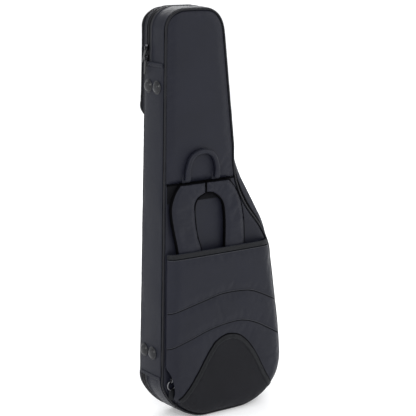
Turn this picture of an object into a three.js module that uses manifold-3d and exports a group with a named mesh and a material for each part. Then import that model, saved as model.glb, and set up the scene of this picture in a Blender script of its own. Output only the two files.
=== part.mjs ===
// A padded gig bag for an electric guitar, standing upright on its flat end, in millimetres.
// X runs across the bag, +Y points from the strap side to the lid, +Z points up to the headstock.
// The left side is the straight spine that the lid hinges on; the zip runs over the top,
// down the right side and under the bottom.
import * as THREE from "three";
import { mergeVertices } from "three/addons/utils/BufferGeometryUtils.js";
import Module from "manifold-3d";

const wasm = await Module();
wasm.setup();

// ---- Driving dimensions ------------------------------------------------------------------
const HEIGHT = 1074;
const DEPTH = 102; // gusset depth at the bottom, strap panel to lid
const DEPTH_LOSS = 0.016; // how much shallower the bag is for each millimetre of height
const SPINE_LOW = { x: -6, z: 124 };
const SPINE_HIGH = { x: 0, z: 1023 };
const ZIP_END_Z = 938; // upper seam of the spine, where the zip ends
const SKIN = 2; // outer fabric, backed
const FOAM = 16;
const GAP = 0.3;
const PIPING = 3.5; // radius of the corded edge
const PIPING_INSET = 3.8;
const PANEL_INSET = 8.5; // panel edge, inside the piping
const WALL_INNER = SKIN + FOAM - 2;

const GUSSET_END = 67; // base gusset, from the strap side
const BINDING_END = 76;
const ZIP_Y = 85.5; // centre of the zip
const LID_Y = 93; // start of the lid's rim

const SHOULDER = { low: 415, high: 725, pinch: 41, depth: 12, steps: 5 };
const FOAM_TOP = 18; // how deep the foam behind the strap panel reaches
const WALL_TOP = ZIP_Y - 3.5; // top of the base's foam wall
const HEAD_POCKET = { low: 792, corner: 30, inset: 6, thick: 40, zip: [18, 24], puller: 21 };

const SEAM_Z = 633; // seam where the straps and the grab handle are sewn in
const POCKET_TOP = 456;
const POCKET_DEPTH = 24;
const HEM = 12;

const FOOT = { radius: 17, height: 10, tip: 5 };
const FOOT_PLACES = { upper: { z: 878, y: [29, 66.5] }, lower: { z: 186, y: [39, 77] } };

const STRAP = { back: -3.8, thick: 14, edge: 4 };
const HANDLE = { x: 110, span: 94, top: 712, radius: 7, pivotZ: 642, y: -12.2 };
const SIDE_HANDLE = { z: 810, half: 62, radius: 6.5, bow: 7, pivot: 7, y: 39 };

const SLIDER = { length: 16, width: 9, thick: 3.2 };
const SLIDER_UPPER_Z = 973;
const SLIDER_LOWER_Z = 946;
const PULL = { length: 38, width: 7, thick: 2 };

// ---- Materials ---------------------------------------------------------------------------
const finish = (color, roughness, metalness = 0) =>
  new THREE.MeshStandardMaterial({ color, roughness, metalness });
const FABRIC = finish(0x32323a, 0.75);
const COARSE = finish(0x2a2a2f, 0.9);
const WEBBING = finish(0x26262b, 0.85);
const FOAM_GREY = finish(0x55555a, 0.95);
const PLUSH = finish(0x3a3a40, 1.0);
const RUBBER = finish(0x2e3033, 0.35);
const METAL = finish(0x2b2c2f, 0.3, 0.9);
const NICKEL = finish(0xb8b8ba, 0.25, 1.0);
const ZIP_TAPE = finish(0x1f1f23, 0.8);

const bag = new THREE.Group();

function add(name, geometry, material, parent = bag) {
  const mesh = new THREE.Mesh(geometry, material);
  mesh.name = name;
  parent.add(mesh);
  return mesh;
}

// ---- Solids ------------------------------------------------------------------------------
function solidOf(geometry) {
  const bare = new THREE.BufferGeometry();
  const flat = geometry.index ? geometry.toNonIndexed() : geometry;
  bare.setAttribute("position", flat.getAttribute("position"));
  const merged = mergeVertices(bare, 1e-4);
  return new wasm.Manifold(
    new wasm.Mesh({
      numProp: 3,
      vertProperties: new Float32Array(merged.attributes.position.array),
      triVerts: new Uint32Array(merged.index.array),
    }),
  );
}

function geometryOf(solid) {
  const { vertProperties, triVerts } = solid.getMesh();
  const geometry = new THREE.BufferGeometry();
  geometry.setAttribute("position", new THREE.BufferAttribute(new Float32Array(vertProperties), 3));
  geometry.setIndex(new THREE.BufferAttribute(new Uint32Array(triVerts), 1));
  return geometry;
}

const join = (...parts) => geometryOf(parts.map(solidOf).reduce((a, b) => a.add(b)));
const cut = (body, ...tools) => geometryOf(tools.map(solidOf).reduce((a, b) => a.subtract(b), solidOf(body)));
const common = (a, b) => geometryOf(solidOf(a).intersect(solidOf(b)));

// A box between two corners.
function block(x0, x1, y0, y1, z0, z1) {
  const geometry = new THREE.BoxGeometry(x1 - x0, y1 - y0, z1 - z0);
  return geometry.translate((x0 + x1) / 2, (y0 + y1) / 2, (z0 + z1) / 2);
}

// Outlines in the XZ plane, one for each depth in ys, skinned into one closed solid.
function layered(outlines, ys) {
  const count = outlines[0].length;
  const positions = outlines.flatMap((outline, k) => outline.flatMap((p) => [p.x, ys[k], p.y]));
  const last = (outlines.length - 1) * count;
  const index = [];
  for (const [a, b, c] of THREE.ShapeUtils.triangulateShape(outlines[0], [])) {
    index.push(a, b, c);
    index.push(last + c, last + b, last + a);
  }
  for (let k = 0; k + 1 < outlines.length; k++) {
    for (let i = 0; i < count; i++) {
      const a = k * count + i;
      const b = k * count + ((i + 1) % count);
      index.push(a, a + count, b + count);
      index.push(a, b + count, b);
    }
  }
  const geometry = new THREE.BufferGeometry();
  geometry.setAttribute("position", new THREE.Float32BufferAttribute(positions, 3));
  geometry.setIndex(index);
  return geometry;
}

const plate = (outline, y0, y1) => layered([outline, outline], [y0, y1]);

// A curve that passes through its points in order, one step to a point.
class Route extends THREE.Curve {
  constructor(points) {
    super();
    this.points = points;
  }
  getPoint(t, target = new THREE.Vector3()) {
    const at = THREE.MathUtils.clamp(t, 0, 1) * (this.points.length - 1);
    const i = Math.min(Math.floor(at), this.points.length - 2);
    return target.lerpVectors(this.points[i], this.points[i + 1], at - i);
  }
  getUtoTmapping(u) {
    return u;
  }
}

function tube(points, radius, sides) {
  const section = new THREE.Shape();
  for (let i = 0; i < sides; i++) {
    const angle = (2 * Math.PI * i) / sides;
    const method = i ? "lineTo" : "moveTo";
    section[method](radius * Math.cos(angle), radius * Math.sin(angle));
  }
  return new THREE.ExtrudeGeometry(section, {
    steps: points.length - 1,
    extrudePath: new Route(points),
    bevelEnabled: false,
  });
}

// ---- Outlines ----------------------------------------------------------------------------
const spineX = (z) =>
  THREE.MathUtils.mapLinear(z, SPINE_LOW.z, SPINE_HIGH.z, SPINE_LOW.x, SPINE_HIGH.x);

// The straight right edge of the neck, and how far it leans from upright.
const NECK_LOW = { x: 219, z: 715 };
const NECK_HIGH = { x: 184, z: 1012 };
const NECK_LEAN = Math.atan2(NECK_LOW.x - NECK_HIGH.x, NECK_HIGH.z - NECK_LOW.z);
const neckX = (z) => THREE.MathUtils.mapLinear(z, NECK_LOW.z, NECK_HIGH.z, NECK_LOW.x, NECK_HIGH.x);

// The bag seen from the strap side, anticlockwise from the foot of the spine.
function bagOutline() {
  const path = new THREE.Path();
  path.moveTo(SPINE_LOW.x, SPINE_LOW.z);
  path.bezierCurveTo(-16, 82, 60, 0, 135, 0);
  path.lineTo(236, 0);
  path.bezierCurveTo(315, 0, 384, 48, 382, 128);
  path.bezierCurveTo(380, 195, 356, 325, 344, 405);
  path.bezierCurveTo(339, 440, 329, 497, 312, 526);
  for (let i = 1; i <= SHOULDER.steps; i++) {
    const along = i / SHOULDER.steps;
    path.lineTo(312 - 56 * along, 526 + 102 * along);
  }
  path.bezierCurveTo(242, 653, 223, 680, NECK_LOW.x, NECK_LOW.z);
  path.lineTo(NECK_HIGH.x, NECK_HIGH.z);
  path.bezierCurveTo(178, 1052, 152, HEIGHT - 1, 122, HEIGHT - 1);
  path.lineTo(62, HEIGHT);
  path.bezierCurveTo(30, HEIGHT, 2, 1056, SPINE_HIGH.x, SPINE_HIGH.z);
  path.lineTo(spineX(ZIP_END_Z), ZIP_END_Z);
  return path.getPoints(6);
}

const OUTLINE = bagOutline();
const ZIP_STRETCH = OUTLINE.length; // every point from the foot of the spine to the zip's end

// The outline moved inwards by a distance, point by point.
function inset(outline, distance) {
  const count = outline.length;
  return outline.map((p, i) => {
    const before = p.clone().sub(outline[(i + count - 1) % count]).normalize();
    const after = outline[(i + 1) % count].clone().sub(p).normalize();
    const inward = new THREE.Vector2(-before.y - after.y, before.x + after.x).normalize();
    const stretch = Math.max(0.5, inward.x * -before.y + inward.y * before.x);
    return p.clone().addScaledVector(inward, distance / stretch);
  });
}

// At the strap side the right shoulder is drawn in, fading out at a small depth.
function outlineAt(y) {
  const near = THREE.MathUtils.clamp(1 - Math.max(y, 0) / SHOULDER.depth, 0, 1);
  return OUTLINE.map((p) => {
    const along = THREE.MathUtils.clamp(
      THREE.MathUtils.inverseLerp(SHOULDER.low, SHOULDER.high, p.y), 0, 1);
    const pinch = p.x > 100 ? SHOULDER.pinch * Math.sin(Math.PI * along) ** 2 * near : 0;
    return new THREE.Vector2(p.x - pinch, p.y);
  });
}

const insetBag = (distance, y = SHOULDER.depth) => inset(outlineAt(y), distance);

// A slab of the bag at one inset, through a list of depths.
const bagSlab = (distance, ys) => layered(ys.map((y) => insetBag(distance, y)), ys);

// A strip between two insets of the outline, along the zip, through a list of depths.
function zipBand(outer, inner, ys) {
  const bands = ys.map((y) => {
    const along = (d) => insetBag(d, y).slice(0, ZIP_STRETCH);
    return [...along(outer), ...along(inner).reverse()];
  });
  return layered(bands, ys);
}

// A strip between two insets, along the spine, clear of the seams at its ends.
function spineBand(outer, inner, clear) {
  const low = SPINE_LOW.z + clear;
  const high = ZIP_END_Z - clear;
  const at = (z, d) => new THREE.Vector2(spineX(z) + d, z);
  return [at(high, outer), at(low, outer), at(low, inner), at(high, inner)];
}

function smoothOutline(points, divisions) {
  const curve = new THREE.SplineCurve(points.map(([x, z]) => new THREE.Vector2(x, z)));
  return curve.getPoints(divisions);
}

// The bag is shallower towards the headstock, so every depth shrinks with height.
const depthAt = (y, z) => (y > 0 ? y * (1 - (DEPTH_LOSS / DEPTH) * z) : y);

function shaped(geometry) {
  const position = geometry.getAttribute("position");
  for (let i = 0; i < position.count; i++) {
    const [x, y, z] = [position.getX(i), position.getY(i), position.getZ(i)];
    position.setXYZ(i, x, depthAt(y, z), z);
  }
  return geometry;
}

// ---- Base shell --------------------------------------------------------------------------
const everywhere = { x0: -60, x1: 460, y0: -60, y1: 200 };
const slab = (z0, z1) =>
  block(everywhere.x0, everywhere.x1, everywhere.y0, everywhere.y1, z0, z1);

function baseShell() {
  const panel = bagSlab(PANEL_INSET, [-SKIN, 0]);
  add("back_panel_lower", shaped(common(panel, slab(-10, SEAM_Z))), FABRIC);
  add("back_panel_upper", shaped(common(panel, slab(SEAM_Z + GAP, HEIGHT))), FABRIC);
  const foamEdge = [0, 0, FOAM_TOP].map((y) => insetBag(PANEL_INSET, y));
  add("back_foam", shaped(layered(foamEdge, [GAP, PIPING + 0.7, FOAM_TOP])), FOAM_GREY);
  add("back_lining", shaped(bagSlab(WALL_INNER + 1, [FOAM_TOP + GAP, FOAM_TOP + 2])), PLUSH);

  const edge = PIPING + 1;
  const gussetDepths = [edge, SHOULDER.depth, GUSSET_END];
  add("main_gusset", shaped(zipBand(0, SKIN, gussetDepths)), FABRIC);
  const bindingDepths = [GUSSET_END + GAP, BINDING_END];
  add("gusset_binding", shaped(zipBand(0, SKIN, bindingDepths)), WEBBING);
  const foamDepths = [FOAM_TOP + GAP, FOAM_TOP + 2, WALL_TOP];
  add("main_foam", shaped(zipBand(SKIN + 1, WALL_INNER, foamDepths)), FOAM_GREY);

  add("hinge_gusset", shaped(plate(spineBand(0, SKIN, GAP), edge, DEPTH - PIPING - 0.8)), FABRIC);
  const hingeFoam = spineBand(SKIN + GAP, WALL_INNER, 1);
  add("hinge_foam", shaped(plate(hingeFoam, FOAM_TOP + GAP, LID_Y - 2.7)), FOAM_GREY);
}

// The corded edge round a panel, with its two ends butted together at the middle of the base.
function piping(y) {
  const loop = insetBag(PIPING_INSET, y);
  const first = loop.findIndex((p) => p.x > (135 + 236) / 2);
  const route = [...loop.slice(first), ...loop.slice(0, first)];
  const start = new THREE.Vector2(186, PIPING_INSET);
  const end = new THREE.Vector2(185, PIPING_INSET);
  const points = [start, ...route, end].map((p) => new THREE.Vector3(p.x, depthAt(y, p.y), p.y));
  return tube(points, PIPING, 6);
}

// One half of the zip: its tape, drawn thick enough for the row of teeth along its edge.
const zipHalf = (y0, y1) => shaped(zipBand(0.3, SKIN, [y0, y1]));

function neckCradle() {
  const body = block(16, 196, 20.4, 62, 690, 752);
  const neckChannel = block(76, 128, 34, 63, 680, 760);
  const hollow = insetBag(WALL_INNER + 0.6);
  const fitted = common(body, plate(hollow, 10, 80));
  add("neck_cradle", shaped(cut(fitted, neckChannel)), FOAM_GREY);
  add("neck_strap", shaped(block(70, 134, 62.4, 64.4, 702, 740)), WEBBING);
}

// ---- Feet on the spine -------------------------------------------------------------------
function footGeometry() {
  const { radius, height, tip } = FOOT;
  const profile = [
    [0, 0], [radius, 0], [radius, 1.6], [radius - 2, 4.4],
    [radius - 6, 7.6], [radius - 10, 9.4], [tip, height], [0, height],
  ];
  return new THREE.LatheGeometry(profile.map(([r, h]) => new THREE.Vector2(r, h)), 20);
}

function feet() {
  const tilt = Math.atan2(SPINE_HIGH.x - SPINE_LOW.x, SPINE_HIGH.z - SPINE_LOW.z);
  for (const [level, { z, y }] of Object.entries(FOOT_PLACES)) {
    y.forEach((across, i) => {
      const foot = add(`foot_${level}_${i + 1}`, footGeometry(), RUBBER);
      foot.rotation.z = Math.PI / 2;
      const holder = new THREE.Group();
      holder.rotation.y = tilt;
      holder.position.set(spineX(z) - GAP, across, z);
      holder.add(foot);
      bag.add(holder);
    });
  }
}

// ---- Shoulder straps, stowed in their pocket ---------------------------------------------
// A padded shape whose front and back faces are drawn in from its edge.
function pad(outline, y0, y1, edge, shoulder) {
  const drawn = inset(outline, edge);
  return layered([drawn, outline, outline, drawn], [y0, y0 + shoulder, y1 - shoulder, y1]);
}

function shoulderStraps() {
  const front = STRAP.back - STRAP.thick;
  const top = SEAM_Z - 1.5;
  const leftOuter = [[40, top], [22, 607], [13, 570], [19, 521], [33, 461], [45, 380], [56, 300]];
  const leftInner = [[108, 300], [110, 400], [101, 476], [86, 550], [92, 590], [117.5, 606]];
  const rightInner = [[121.5, 606], [158, 592], [180, 545], [182, 470], [179, 380], [174, 300]];
  const rightOuter = [[228, 300], [240, 370], [244, 460], [239, 537], [217, 601], [191, top]];
  const left = [...smoothOutline(leftOuter, 14), ...smoothOutline(leftInner, 12),
    new THREE.Vector2(117.5, top)];
  const right = [...smoothOutline(rightInner, 12), ...smoothOutline(rightOuter, 12),
    new THREE.Vector2(121.5, top)];
  add("strap_pad_left", pad(left, front, STRAP.back, STRAP.edge, 4), FABRIC);
  add("strap_pad_right", pad(right, front, STRAP.back, STRAP.edge, 4), FABRIC);
  add("root_patch", block(10, 206, -SKIN - 1.3, -SKIN - GAP, 584, SEAM_Z - 1), COARSE);
}

// The webbing below each pad: ladder buckle, tail, snap hook, D-ring and its sewn tab.
function strapTail(side, padX, ringX) {
  const y = -8.6;
  const ring = { z: 106, radius: 12, wire: 1.8 };
  const eye = { z: ring.z + ring.radius, radius: 4.6, wire: 1.4 };
  const lean = padX > ringX ? 0.42 : -0.42;
  const half = 12.5;
  const hookLength = 32;
  const tailX = ringX + Math.sin(lean) * hookLength;
  const tailZ = eye.z + Math.cos(lean) * hookLength + 7;

  add(`buckle_${side}`, block(padX - 23, padX + 23, y - 3, y + 3, 272, 299), METAL);
  const tail = [
    new THREE.Vector2(padX - half, 271.5), new THREE.Vector2(tailX - half, tailZ),
    new THREE.Vector2(tailX + half, tailZ), new THREE.Vector2(padX + half, 271.5),
  ];
  add(`webbing_${side}`, plate(tail, y - 1, y + 1), WEBBING);

  const claw = new THREE.TorusGeometry(eye.radius, eye.wire, 6, 14).rotateY(Math.PI / 2);
  const shank = block(-3.5, 3.5, -2.5, 2.5, eye.radius, hookLength - 4);
  const crossBar = block(-half, half, -2.5, 2.5, hookLength - 5, hookLength);
  const hook = join(claw, shank, crossBar).rotateY(lean);
  add(`hook_${side}`, hook.translate(ringX, y, eye.z), NICKEL);

  const loop = new THREE.TorusGeometry(ring.radius, ring.wire, 6, 20).rotateX(Math.PI / 2);
  add(`dring_${side}`, loop.translate(ringX, y, ring.z), NICKEL);
  const tabTop = ring.z - ring.radius - ring.wire - GAP;
  add(`dring_tab_${side}`, block(ringX - 8, ringX + 8, y - 2, y + 2, 68, tabTop), WEBBING);
}

// ---- Strap pocket ------------------------------------------------------------------------
// The crowned solid that the pocket's cloth wraps, grown by an amount on its front and sides.
function pocketCrown(grow) {
  const steps = [[0, 9], [8, 11], [16, 16], [21, 22], [POCKET_DEPTH, 34]];
  const layers = steps.map(([, d]) => insetBag(d - grow, 0)).reverse();
  const depths = steps.map(([depth]) => -SKIN - 0.6 - depth - (depth ? grow : 0)).reverse();
  return layered(layers, depths);
}

const prism = (outline) => plate(outline, everywhere.y0, everywhere.y1);

function strapPocket() {
  const slot = [[-30, 60], [29, 60], [29, 92], [22, 112], [12, 135], [-3, 160], [-30, 172]];
  const opening = prism(slot.map(([x, z]) => new THREE.Vector2(x, z)));
  const below = slab(-10, POCKET_TOP);
  const cloth = common(pocketCrown(0), below);
  add("strap_pocket", shaped(cut(cloth, pocketCrown(-1.6), opening)), FABRIC);

  const layer = (from, to, region) => common(cut(pocketCrown(to), pocketCrown(from)), region);
  add("pocket_hem", shaped(layer(GAP, 1.5, slab(POCKET_TOP - HEM, POCKET_TOP))), WEBBING);

  const arch = smoothOutline(
    [[339, 53], [290, 125], [240, 190], [182, 217], [125, 181], [72, 101], [31, 59]], 24);
  const skirt = [new THREE.Vector2(20, -20), new THREE.Vector2(350, -20)];
  const archBorder = [...arch, ...skirt];
  const archPatch = [...inset(archBorder, HEM).slice(0, arch.length), ...skirt];
  add("kick_panel", shaped(layer(GAP, 1.4, prism(inset(archBorder, HEM + GAP)))), COARSE);
  const borderRegion = cut(prism(archBorder), prism(archPatch));
  add("kick_border", shaped(layer(GAP, 1.8, borderRegion)), WEBBING);
}

// ---- Handles -----------------------------------------------------------------------------
// A round handle along its route, with a ball at each end that turns in its seat.
function handleTube(points, radius) {
  const ball = (p) => new THREE.SphereGeometry(radius, 8, 6).translate(p.x, p.y, p.z);
  return join(tube(points, radius, 8), ball(points[0]), ball(points.at(-1)));
}

function grabHandle() {
  const { x, span, top, radius, pivotZ, y } = HANDLE;
  const half = span / 2;
  const arm = new THREE.CatmullRomCurve3([
    new THREE.Vector3(-half, 0, 0), new THREE.Vector3(-half, 0, 26),
    new THREE.Vector3(-half * 0.76, 0, 54), new THREE.Vector3(0, 0, top - pivotZ),
    new THREE.Vector3(half * 0.76, 0, 54), new THREE.Vector3(half, 0, 26),
    new THREE.Vector3(half, 0, 0),
  ]);
  const handle = add("grab_handle", handleTube(arm.getPoints(18), radius), FABRIC);
  handle.position.set(x, y, pivotZ);
  for (const [side, at] of [["left", x - half], ["right", x + half]]) {
    const tab = block(at - 12, at + 12, -SKIN - 2.9, -SKIN - GAP, SEAM_Z + 1, SEAM_Z + 26);
    add(`handle_tab_${side}`, tab, FABRIC);
  }
}

function sideHandle() {
  const { z, half, radius, bow, pivot, y } = SIDE_HANDLE;
  const holder = new THREE.Group();
  holder.position.set(neckX(z), y, z);
  holder.rotation.y = -NECK_LEAN;
  bag.add(holder);
  const grip = new THREE.CatmullRomCurve3(
    [-1, -0.75, -0.3, 0.3, 0.75, 1].map((t) =>
      new THREE.Vector3(pivot + bow * (1 - t ** 4), 0, half * t)));
  add("side_handle", handleTube(grip.getPoints(12), radius), FABRIC, holder);
  const seat = half + radius + 0.5;
  for (const [end, z0, z1] of [["upper", seat, seat + 30], ["lower", -seat - 30, -seat]]) {
    add(`side_anchor_${end}`, block(GAP, 5, -13, 13, z0, z1), WEBBING, holder);
  }
}

// ---- Zip sliders -------------------------------------------------------------------------
const BRIDGE = { half: 3.5, width: 2.2, pin: 1, bore: 1.6, out: 3.4 };

// Slider lying on X = 0 with its outside towards +X and its run along Z.
function sliderGeometry() {
  const { length, width, thick } = SLIDER;
  const y = width / 2;
  const tip = y - 1.4;
  const outline = [[-y, 0], [-tip, -length / 2], [tip, -length / 2], [y, 0],
    [y, length / 2], [-y, length / 2]];
  const shape = new THREE.Shape(outline.map(([a, b]) => new THREE.Vector2(a, b)));
  const body = new THREE.ExtrudeGeometry(shape, { depth: thick, bevelEnabled: false });
  body.applyMatrix4(new THREE.Matrix4().makeBasis(
    new THREE.Vector3(0, 1, 0), new THREE.Vector3(0, 0, 1), new THREE.Vector3(1, 0, 0)));
  const { half, width: wide, bore, out } = BRIDGE;
  const bridge = block(thick - 0.5, thick + out + 2.4, -wide / 2, wide / 2, -half, half);
  const hole = new THREE.CylinderGeometry(bore, bore, width, 10).translate(thick + out, 0, 0);
  return cut(join(body, bridge), hole);
}

// Pull hanging from its pin, with its plate leaning to one side of the zip.
function pullGeometry(lean) {
  const { half, width: bridgeWide, pin } = BRIDGE;
  const { length, width, thick } = PULL;
  const inner = bridgeWide / 2 + 0.4;
  const outer = inner + 1.6;
  const drop = half + 3;
  const bar = new THREE.CylinderGeometry(pin, pin, 2 * outer - 0.4, 8);
  const arms = [[-outer, -inner], [inner, outer]].map(([y0, y1]) => block(-1, 1, y0, y1, -drop, 1));
  const yoke = block(-1, 1, -outer, outer, -drop - 2.5, -drop + 0.2);
  const tag = block(-thick / 2, thick / 2, -width / 2, width / 2, -length + drop, 0);
  tag.rotateX(lean);
  tag.translate(0, 0, -drop - 1);
  return join(bar, ...arms, yoke, tag);
}

// A slider and its pull at a place: turned, and rolled about the way that it faces.
function zipPuller(name, place, turn, roll, lean) {
  const holder = new THREE.Group();
  holder.position.copy(place);
  holder.rotation.copy(turn);
  const turned = new THREE.Group();
  turned.rotation.x = roll;
  holder.add(turned);
  bag.add(holder);
  add(`${name}_slider`, sliderGeometry(), METAL, turned);
  const pull = add(`${name}_pull`, pullGeometry(lean), METAL, turned);
  pull.position.x = SLIDER.thick + BRIDGE.out;
}

const zipTilt = (y) => Math.atan((DEPTH_LOSS * y) / DEPTH);

function mainZipPullers() {
  const out = spineX(ZIP_END_Z) - spineX(SLIDER_UPPER_Z);
  for (const [name, z, lean] of [["upper", SLIDER_UPPER_Z, 0.42], ["lower", SLIDER_LOWER_Z, 0.04]]) {
    const place = new THREE.Vector3(spineX(z) - GAP + out, depthAt(ZIP_Y, z), z);
    zipPuller(`main_${name}`, place, new THREE.Euler(zipTilt(ZIP_Y), 0, Math.PI), 0, -lean);
  }
  const y0 = depthAt(BINDING_END, ZIP_END_Z) + 1;
  const tab = block(-1.8, -0.6, y0, y0 + 16, ZIP_END_Z - 12, ZIP_END_Z - 1);
  add("zip_end_tab", tab.translate(spineX(ZIP_END_Z - 12), 0, 0), WEBBING);
}

// ---- Lid ---------------------------------------------------------------------------------
function lid() {
  add("lid_panel", shaped(plate(insetBag(PANEL_INSET), DEPTH + GAP, DEPTH + SKIN)), FABRIC);
  const board = plate(insetBag(PANEL_INSET), LID_Y, DEPTH - GAP);
  const lip = zipBand(SKIN + GAP, WALL_INNER, [ZIP_Y + 3, LID_Y + 1]);
  add("lid_foam", shaped(join(board, lip)), FOAM_GREY);
  add("lid_lining", shaped(plate(insetBag(WALL_INNER + 1), LID_Y - 2, LID_Y - GAP)), PLUSH);
  add("lid_rim", shaped(zipBand(0, SKIN, [LID_Y, DEPTH - PIPING - 0.8])), FABRIC);
}

// A crowned pocket on the lid: drawn in towards its front, and at its foot to clear the piping.
function lidPocket(outline, thick, foot) {
  const y0 = DEPTH + SKIN + GAP;
  const drawn = [foot, foot * 0.4, 0, 0, 4, 12].map((d) => inset(outline, d));
  const depths = [0, 2.6, 3.4, thick * 0.7, thick * 0.9, thick];
  return layered(drawn, depths.map((d) => y0 + d));
}

function roundCorner(cornerX, cornerZ, from, to, radius) {
  const arc = new THREE.EllipseCurve(cornerX, cornerZ, radius, radius, from, to, from > to);
  return arc.getPoints(5);
}

function headstockPocket() {
  const { low, corner, inset: edge, thick, zip } = HEAD_POCKET;
  const around = insetBag(edge).filter((p) => p.y > low + 2 * corner);
  const leftX = spineX(low) + edge;
  const rightX = neckX(low + corner) - edge;
  const outline = [
    ...around,
    ...roundCorner(leftX + corner, low + corner, Math.PI, 1.5 * Math.PI, corner),
    ...roundCorner(rightX - corner, low + corner, 1.5 * Math.PI, 2 * Math.PI, corner),
  ];
  add("headstock_pocket", shaped(lidPocket(outline, thick, 4)), FABRIC);
  const [y0, y1] = zip.map((y) => DEPTH + SKIN + y);
  const band = cut(plate(inset(outline, -1.4), y0, y1), plate(inset(outline, -GAP), 0, 200));
  const opening = block(100, 240, 0, 200, low - 20, low + corner + 8);
  add("headstock_zip", shaped(cut(band, opening)), ZIP_TAPE);
}

function frontPocket() {
  const bottom = insetBag(30);
  const top = 420;
  const corner = 34;
  const around = bottom.filter((p) => p.y < top - corner - 8);
  const first = around.findIndex((p, i) => i > 0 && p.distanceTo(around[i - 1]) > 150);
  const loop = first > 0 ? [...around.slice(first), ...around.slice(0, first)] : around;
  const leftX = spineX(top) + 30;
  const rightX = 308;
  const outline = [
    ...loop,
    ...roundCorner(rightX - corner, top - corner, 0, Math.PI / 2, corner),
    ...roundCorner(leftX + corner, top - corner, Math.PI / 2, Math.PI, corner),
  ];
  add("front_pocket", shaped(lidPocket(outline, 18, 0.5)), FABRIC);
  const y = DEPTH + SKIN + GAP + 18;
  add("front_zip", shaped(block(60, 270, y + GAP, y + 1.6, 372, 382)), ZIP_TAPE);
}

function lidZipPullers() {
  const faceY = DEPTH + SKIN + GAP + 18 + 1.6 + 2 * GAP;
  const front = new THREE.Vector3(258, depthAt(faceY, 377), 377);
  zipPuller("front", front, new THREE.Euler(zipTilt(faceY), 0, Math.PI / 2), -Math.PI / 2, 0);
  const sideY = DEPTH + SKIN + HEAD_POCKET.puller;
  const z = 850;
  const sideX = neckX(z) - HEAD_POCKET.inset + 1.4 + 2 * GAP;
  const side = new THREE.Vector3(sideX, depthAt(sideY, z), z);
  zipPuller("headstock", side, new THREE.Euler(zipTilt(sideY), -NECK_LEAN, 0), 0, 0);
}

baseShell();
add("back_piping", piping(0), WEBBING);
add("zip_tape_base", zipHalf(BINDING_END + GAP, ZIP_Y - GAP), ZIP_TAPE);
neckCradle();
feet();
shoulderStraps();
strapTail("left", 84, 20);
strapTail("right", 202, 338);
strapPocket();
grabHandle();
sideHandle();
mainZipPullers();
lid();
add("lid_piping", piping(DEPTH), WEBBING);
add("zip_tape_lid", zipHalf(ZIP_Y + GAP, LID_Y - GAP), ZIP_TAPE);
headstockPocket();
frontPocket();
lidZipPullers();

// The origin is the middle of the base.
bag.updateMatrixWorld(true);
const box = new THREE.Box3().setFromObject(bag, true);
const middle = box.getCenter(new THREE.Vector3());
bag.position.set(-middle.x, -middle.y, -box.min.z);

export default bag;
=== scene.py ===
"""A padded gig bag: fabric, cords, zips and hardware built round its CAD frame."""
import math

import bmesh
import bpy
import numpy as np
from mathutils import Matrix, Vector
from mathutils.bvhtree import BVHTree
from mathutils.geometry import delaunay_2d_cdt


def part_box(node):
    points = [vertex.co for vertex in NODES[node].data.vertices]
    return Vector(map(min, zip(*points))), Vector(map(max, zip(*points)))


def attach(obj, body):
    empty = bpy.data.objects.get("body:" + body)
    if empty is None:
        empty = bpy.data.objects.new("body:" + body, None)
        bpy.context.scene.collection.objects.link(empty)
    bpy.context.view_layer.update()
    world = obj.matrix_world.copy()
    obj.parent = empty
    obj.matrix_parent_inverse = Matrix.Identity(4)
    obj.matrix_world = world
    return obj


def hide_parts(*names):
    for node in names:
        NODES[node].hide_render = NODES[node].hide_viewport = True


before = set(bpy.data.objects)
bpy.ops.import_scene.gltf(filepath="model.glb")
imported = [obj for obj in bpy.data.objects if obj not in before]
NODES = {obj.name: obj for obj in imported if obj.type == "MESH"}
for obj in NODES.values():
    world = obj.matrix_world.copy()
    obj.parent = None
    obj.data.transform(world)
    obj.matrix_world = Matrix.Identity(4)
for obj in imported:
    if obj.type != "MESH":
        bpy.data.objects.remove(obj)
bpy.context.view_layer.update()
RANDOM = np.random.default_rng(7)

# ---- Driving dimensions, in millimetres ----------------------------------------------------
# They follow the CAD model, except that the right shoulder is drawn slimmer than its solids.
MM = 0.001
DEPTH = 102.0
DEPTH_LOSS = 0.016
HEIGHT = 1074.0
SPINE_LOW = (-6.0, 124.0)
SPINE_HIGH = (0.0, 1023.0)
NECK_LOW = (220.8, 700.0)
NECK_HIGH = (184.0, 1012.0)
ZIP_END_Z = 938.0
GUSSET_START = 4.0
GUSSET_END = 66.8
BINDING_END = 75.9
LID_Y = 93.0
SPINE_END = 98.4
SEAM_Z = 633.0
POCKET_TOP = 456.0
SHOULDER = {"low": 415.0, "high": 725.0, "pinch": 31.0, "depth": 12.0}
PIPING_INSET = 3.6
FACE_INSET = 7.4
OUTLINE_STEP = 4.0
CORD_RADIUS = 2.9
BINDING_START = GUSSET_END + 0.2
SPINE_BULGE = 1.3
SEAM_GAP = 0.9
LOWER_SPINE_SEAM_Z = 127.0
OUT_FRONT = (0, -1, 0)
OUT_BACK = (0, 1, 0)
OUT_SPINE = (-1, 0, 0)


# ---- Plane curves --------------------------------------------------------------------------
def bezier(p0, p1, p2, p3):
    t = np.linspace(0, 1, 25)[1:, None]
    p0, p1, p2, p3 = (np.array(p, float) for p in (p0, p1, p2, p3))
    return (1 - t) ** 3 * p0 + 3 * (1 - t) ** 2 * t * p1 + 3 * (1 - t) * t ** 2 * p2 + t ** 3 * p3


def spline(points, steps=10):
    """A smooth curve through the points."""
    p = np.array(points, float)
    padded = np.vstack([p[0], p, p[-1]])
    out = [p[0]]
    for i in range(len(p) - 1):
        a, b, c, d = padded[i:i + 4]
        for t in np.linspace(0, 1, steps + 1)[1:]:
            out.append(0.5 * (2 * b + (c - a) * t + (2 * a - 5 * b + 4 * c - d) * t ** 2
                              + (3 * b - a - 3 * c + d) * t ** 3))
    return np.array(out)


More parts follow.
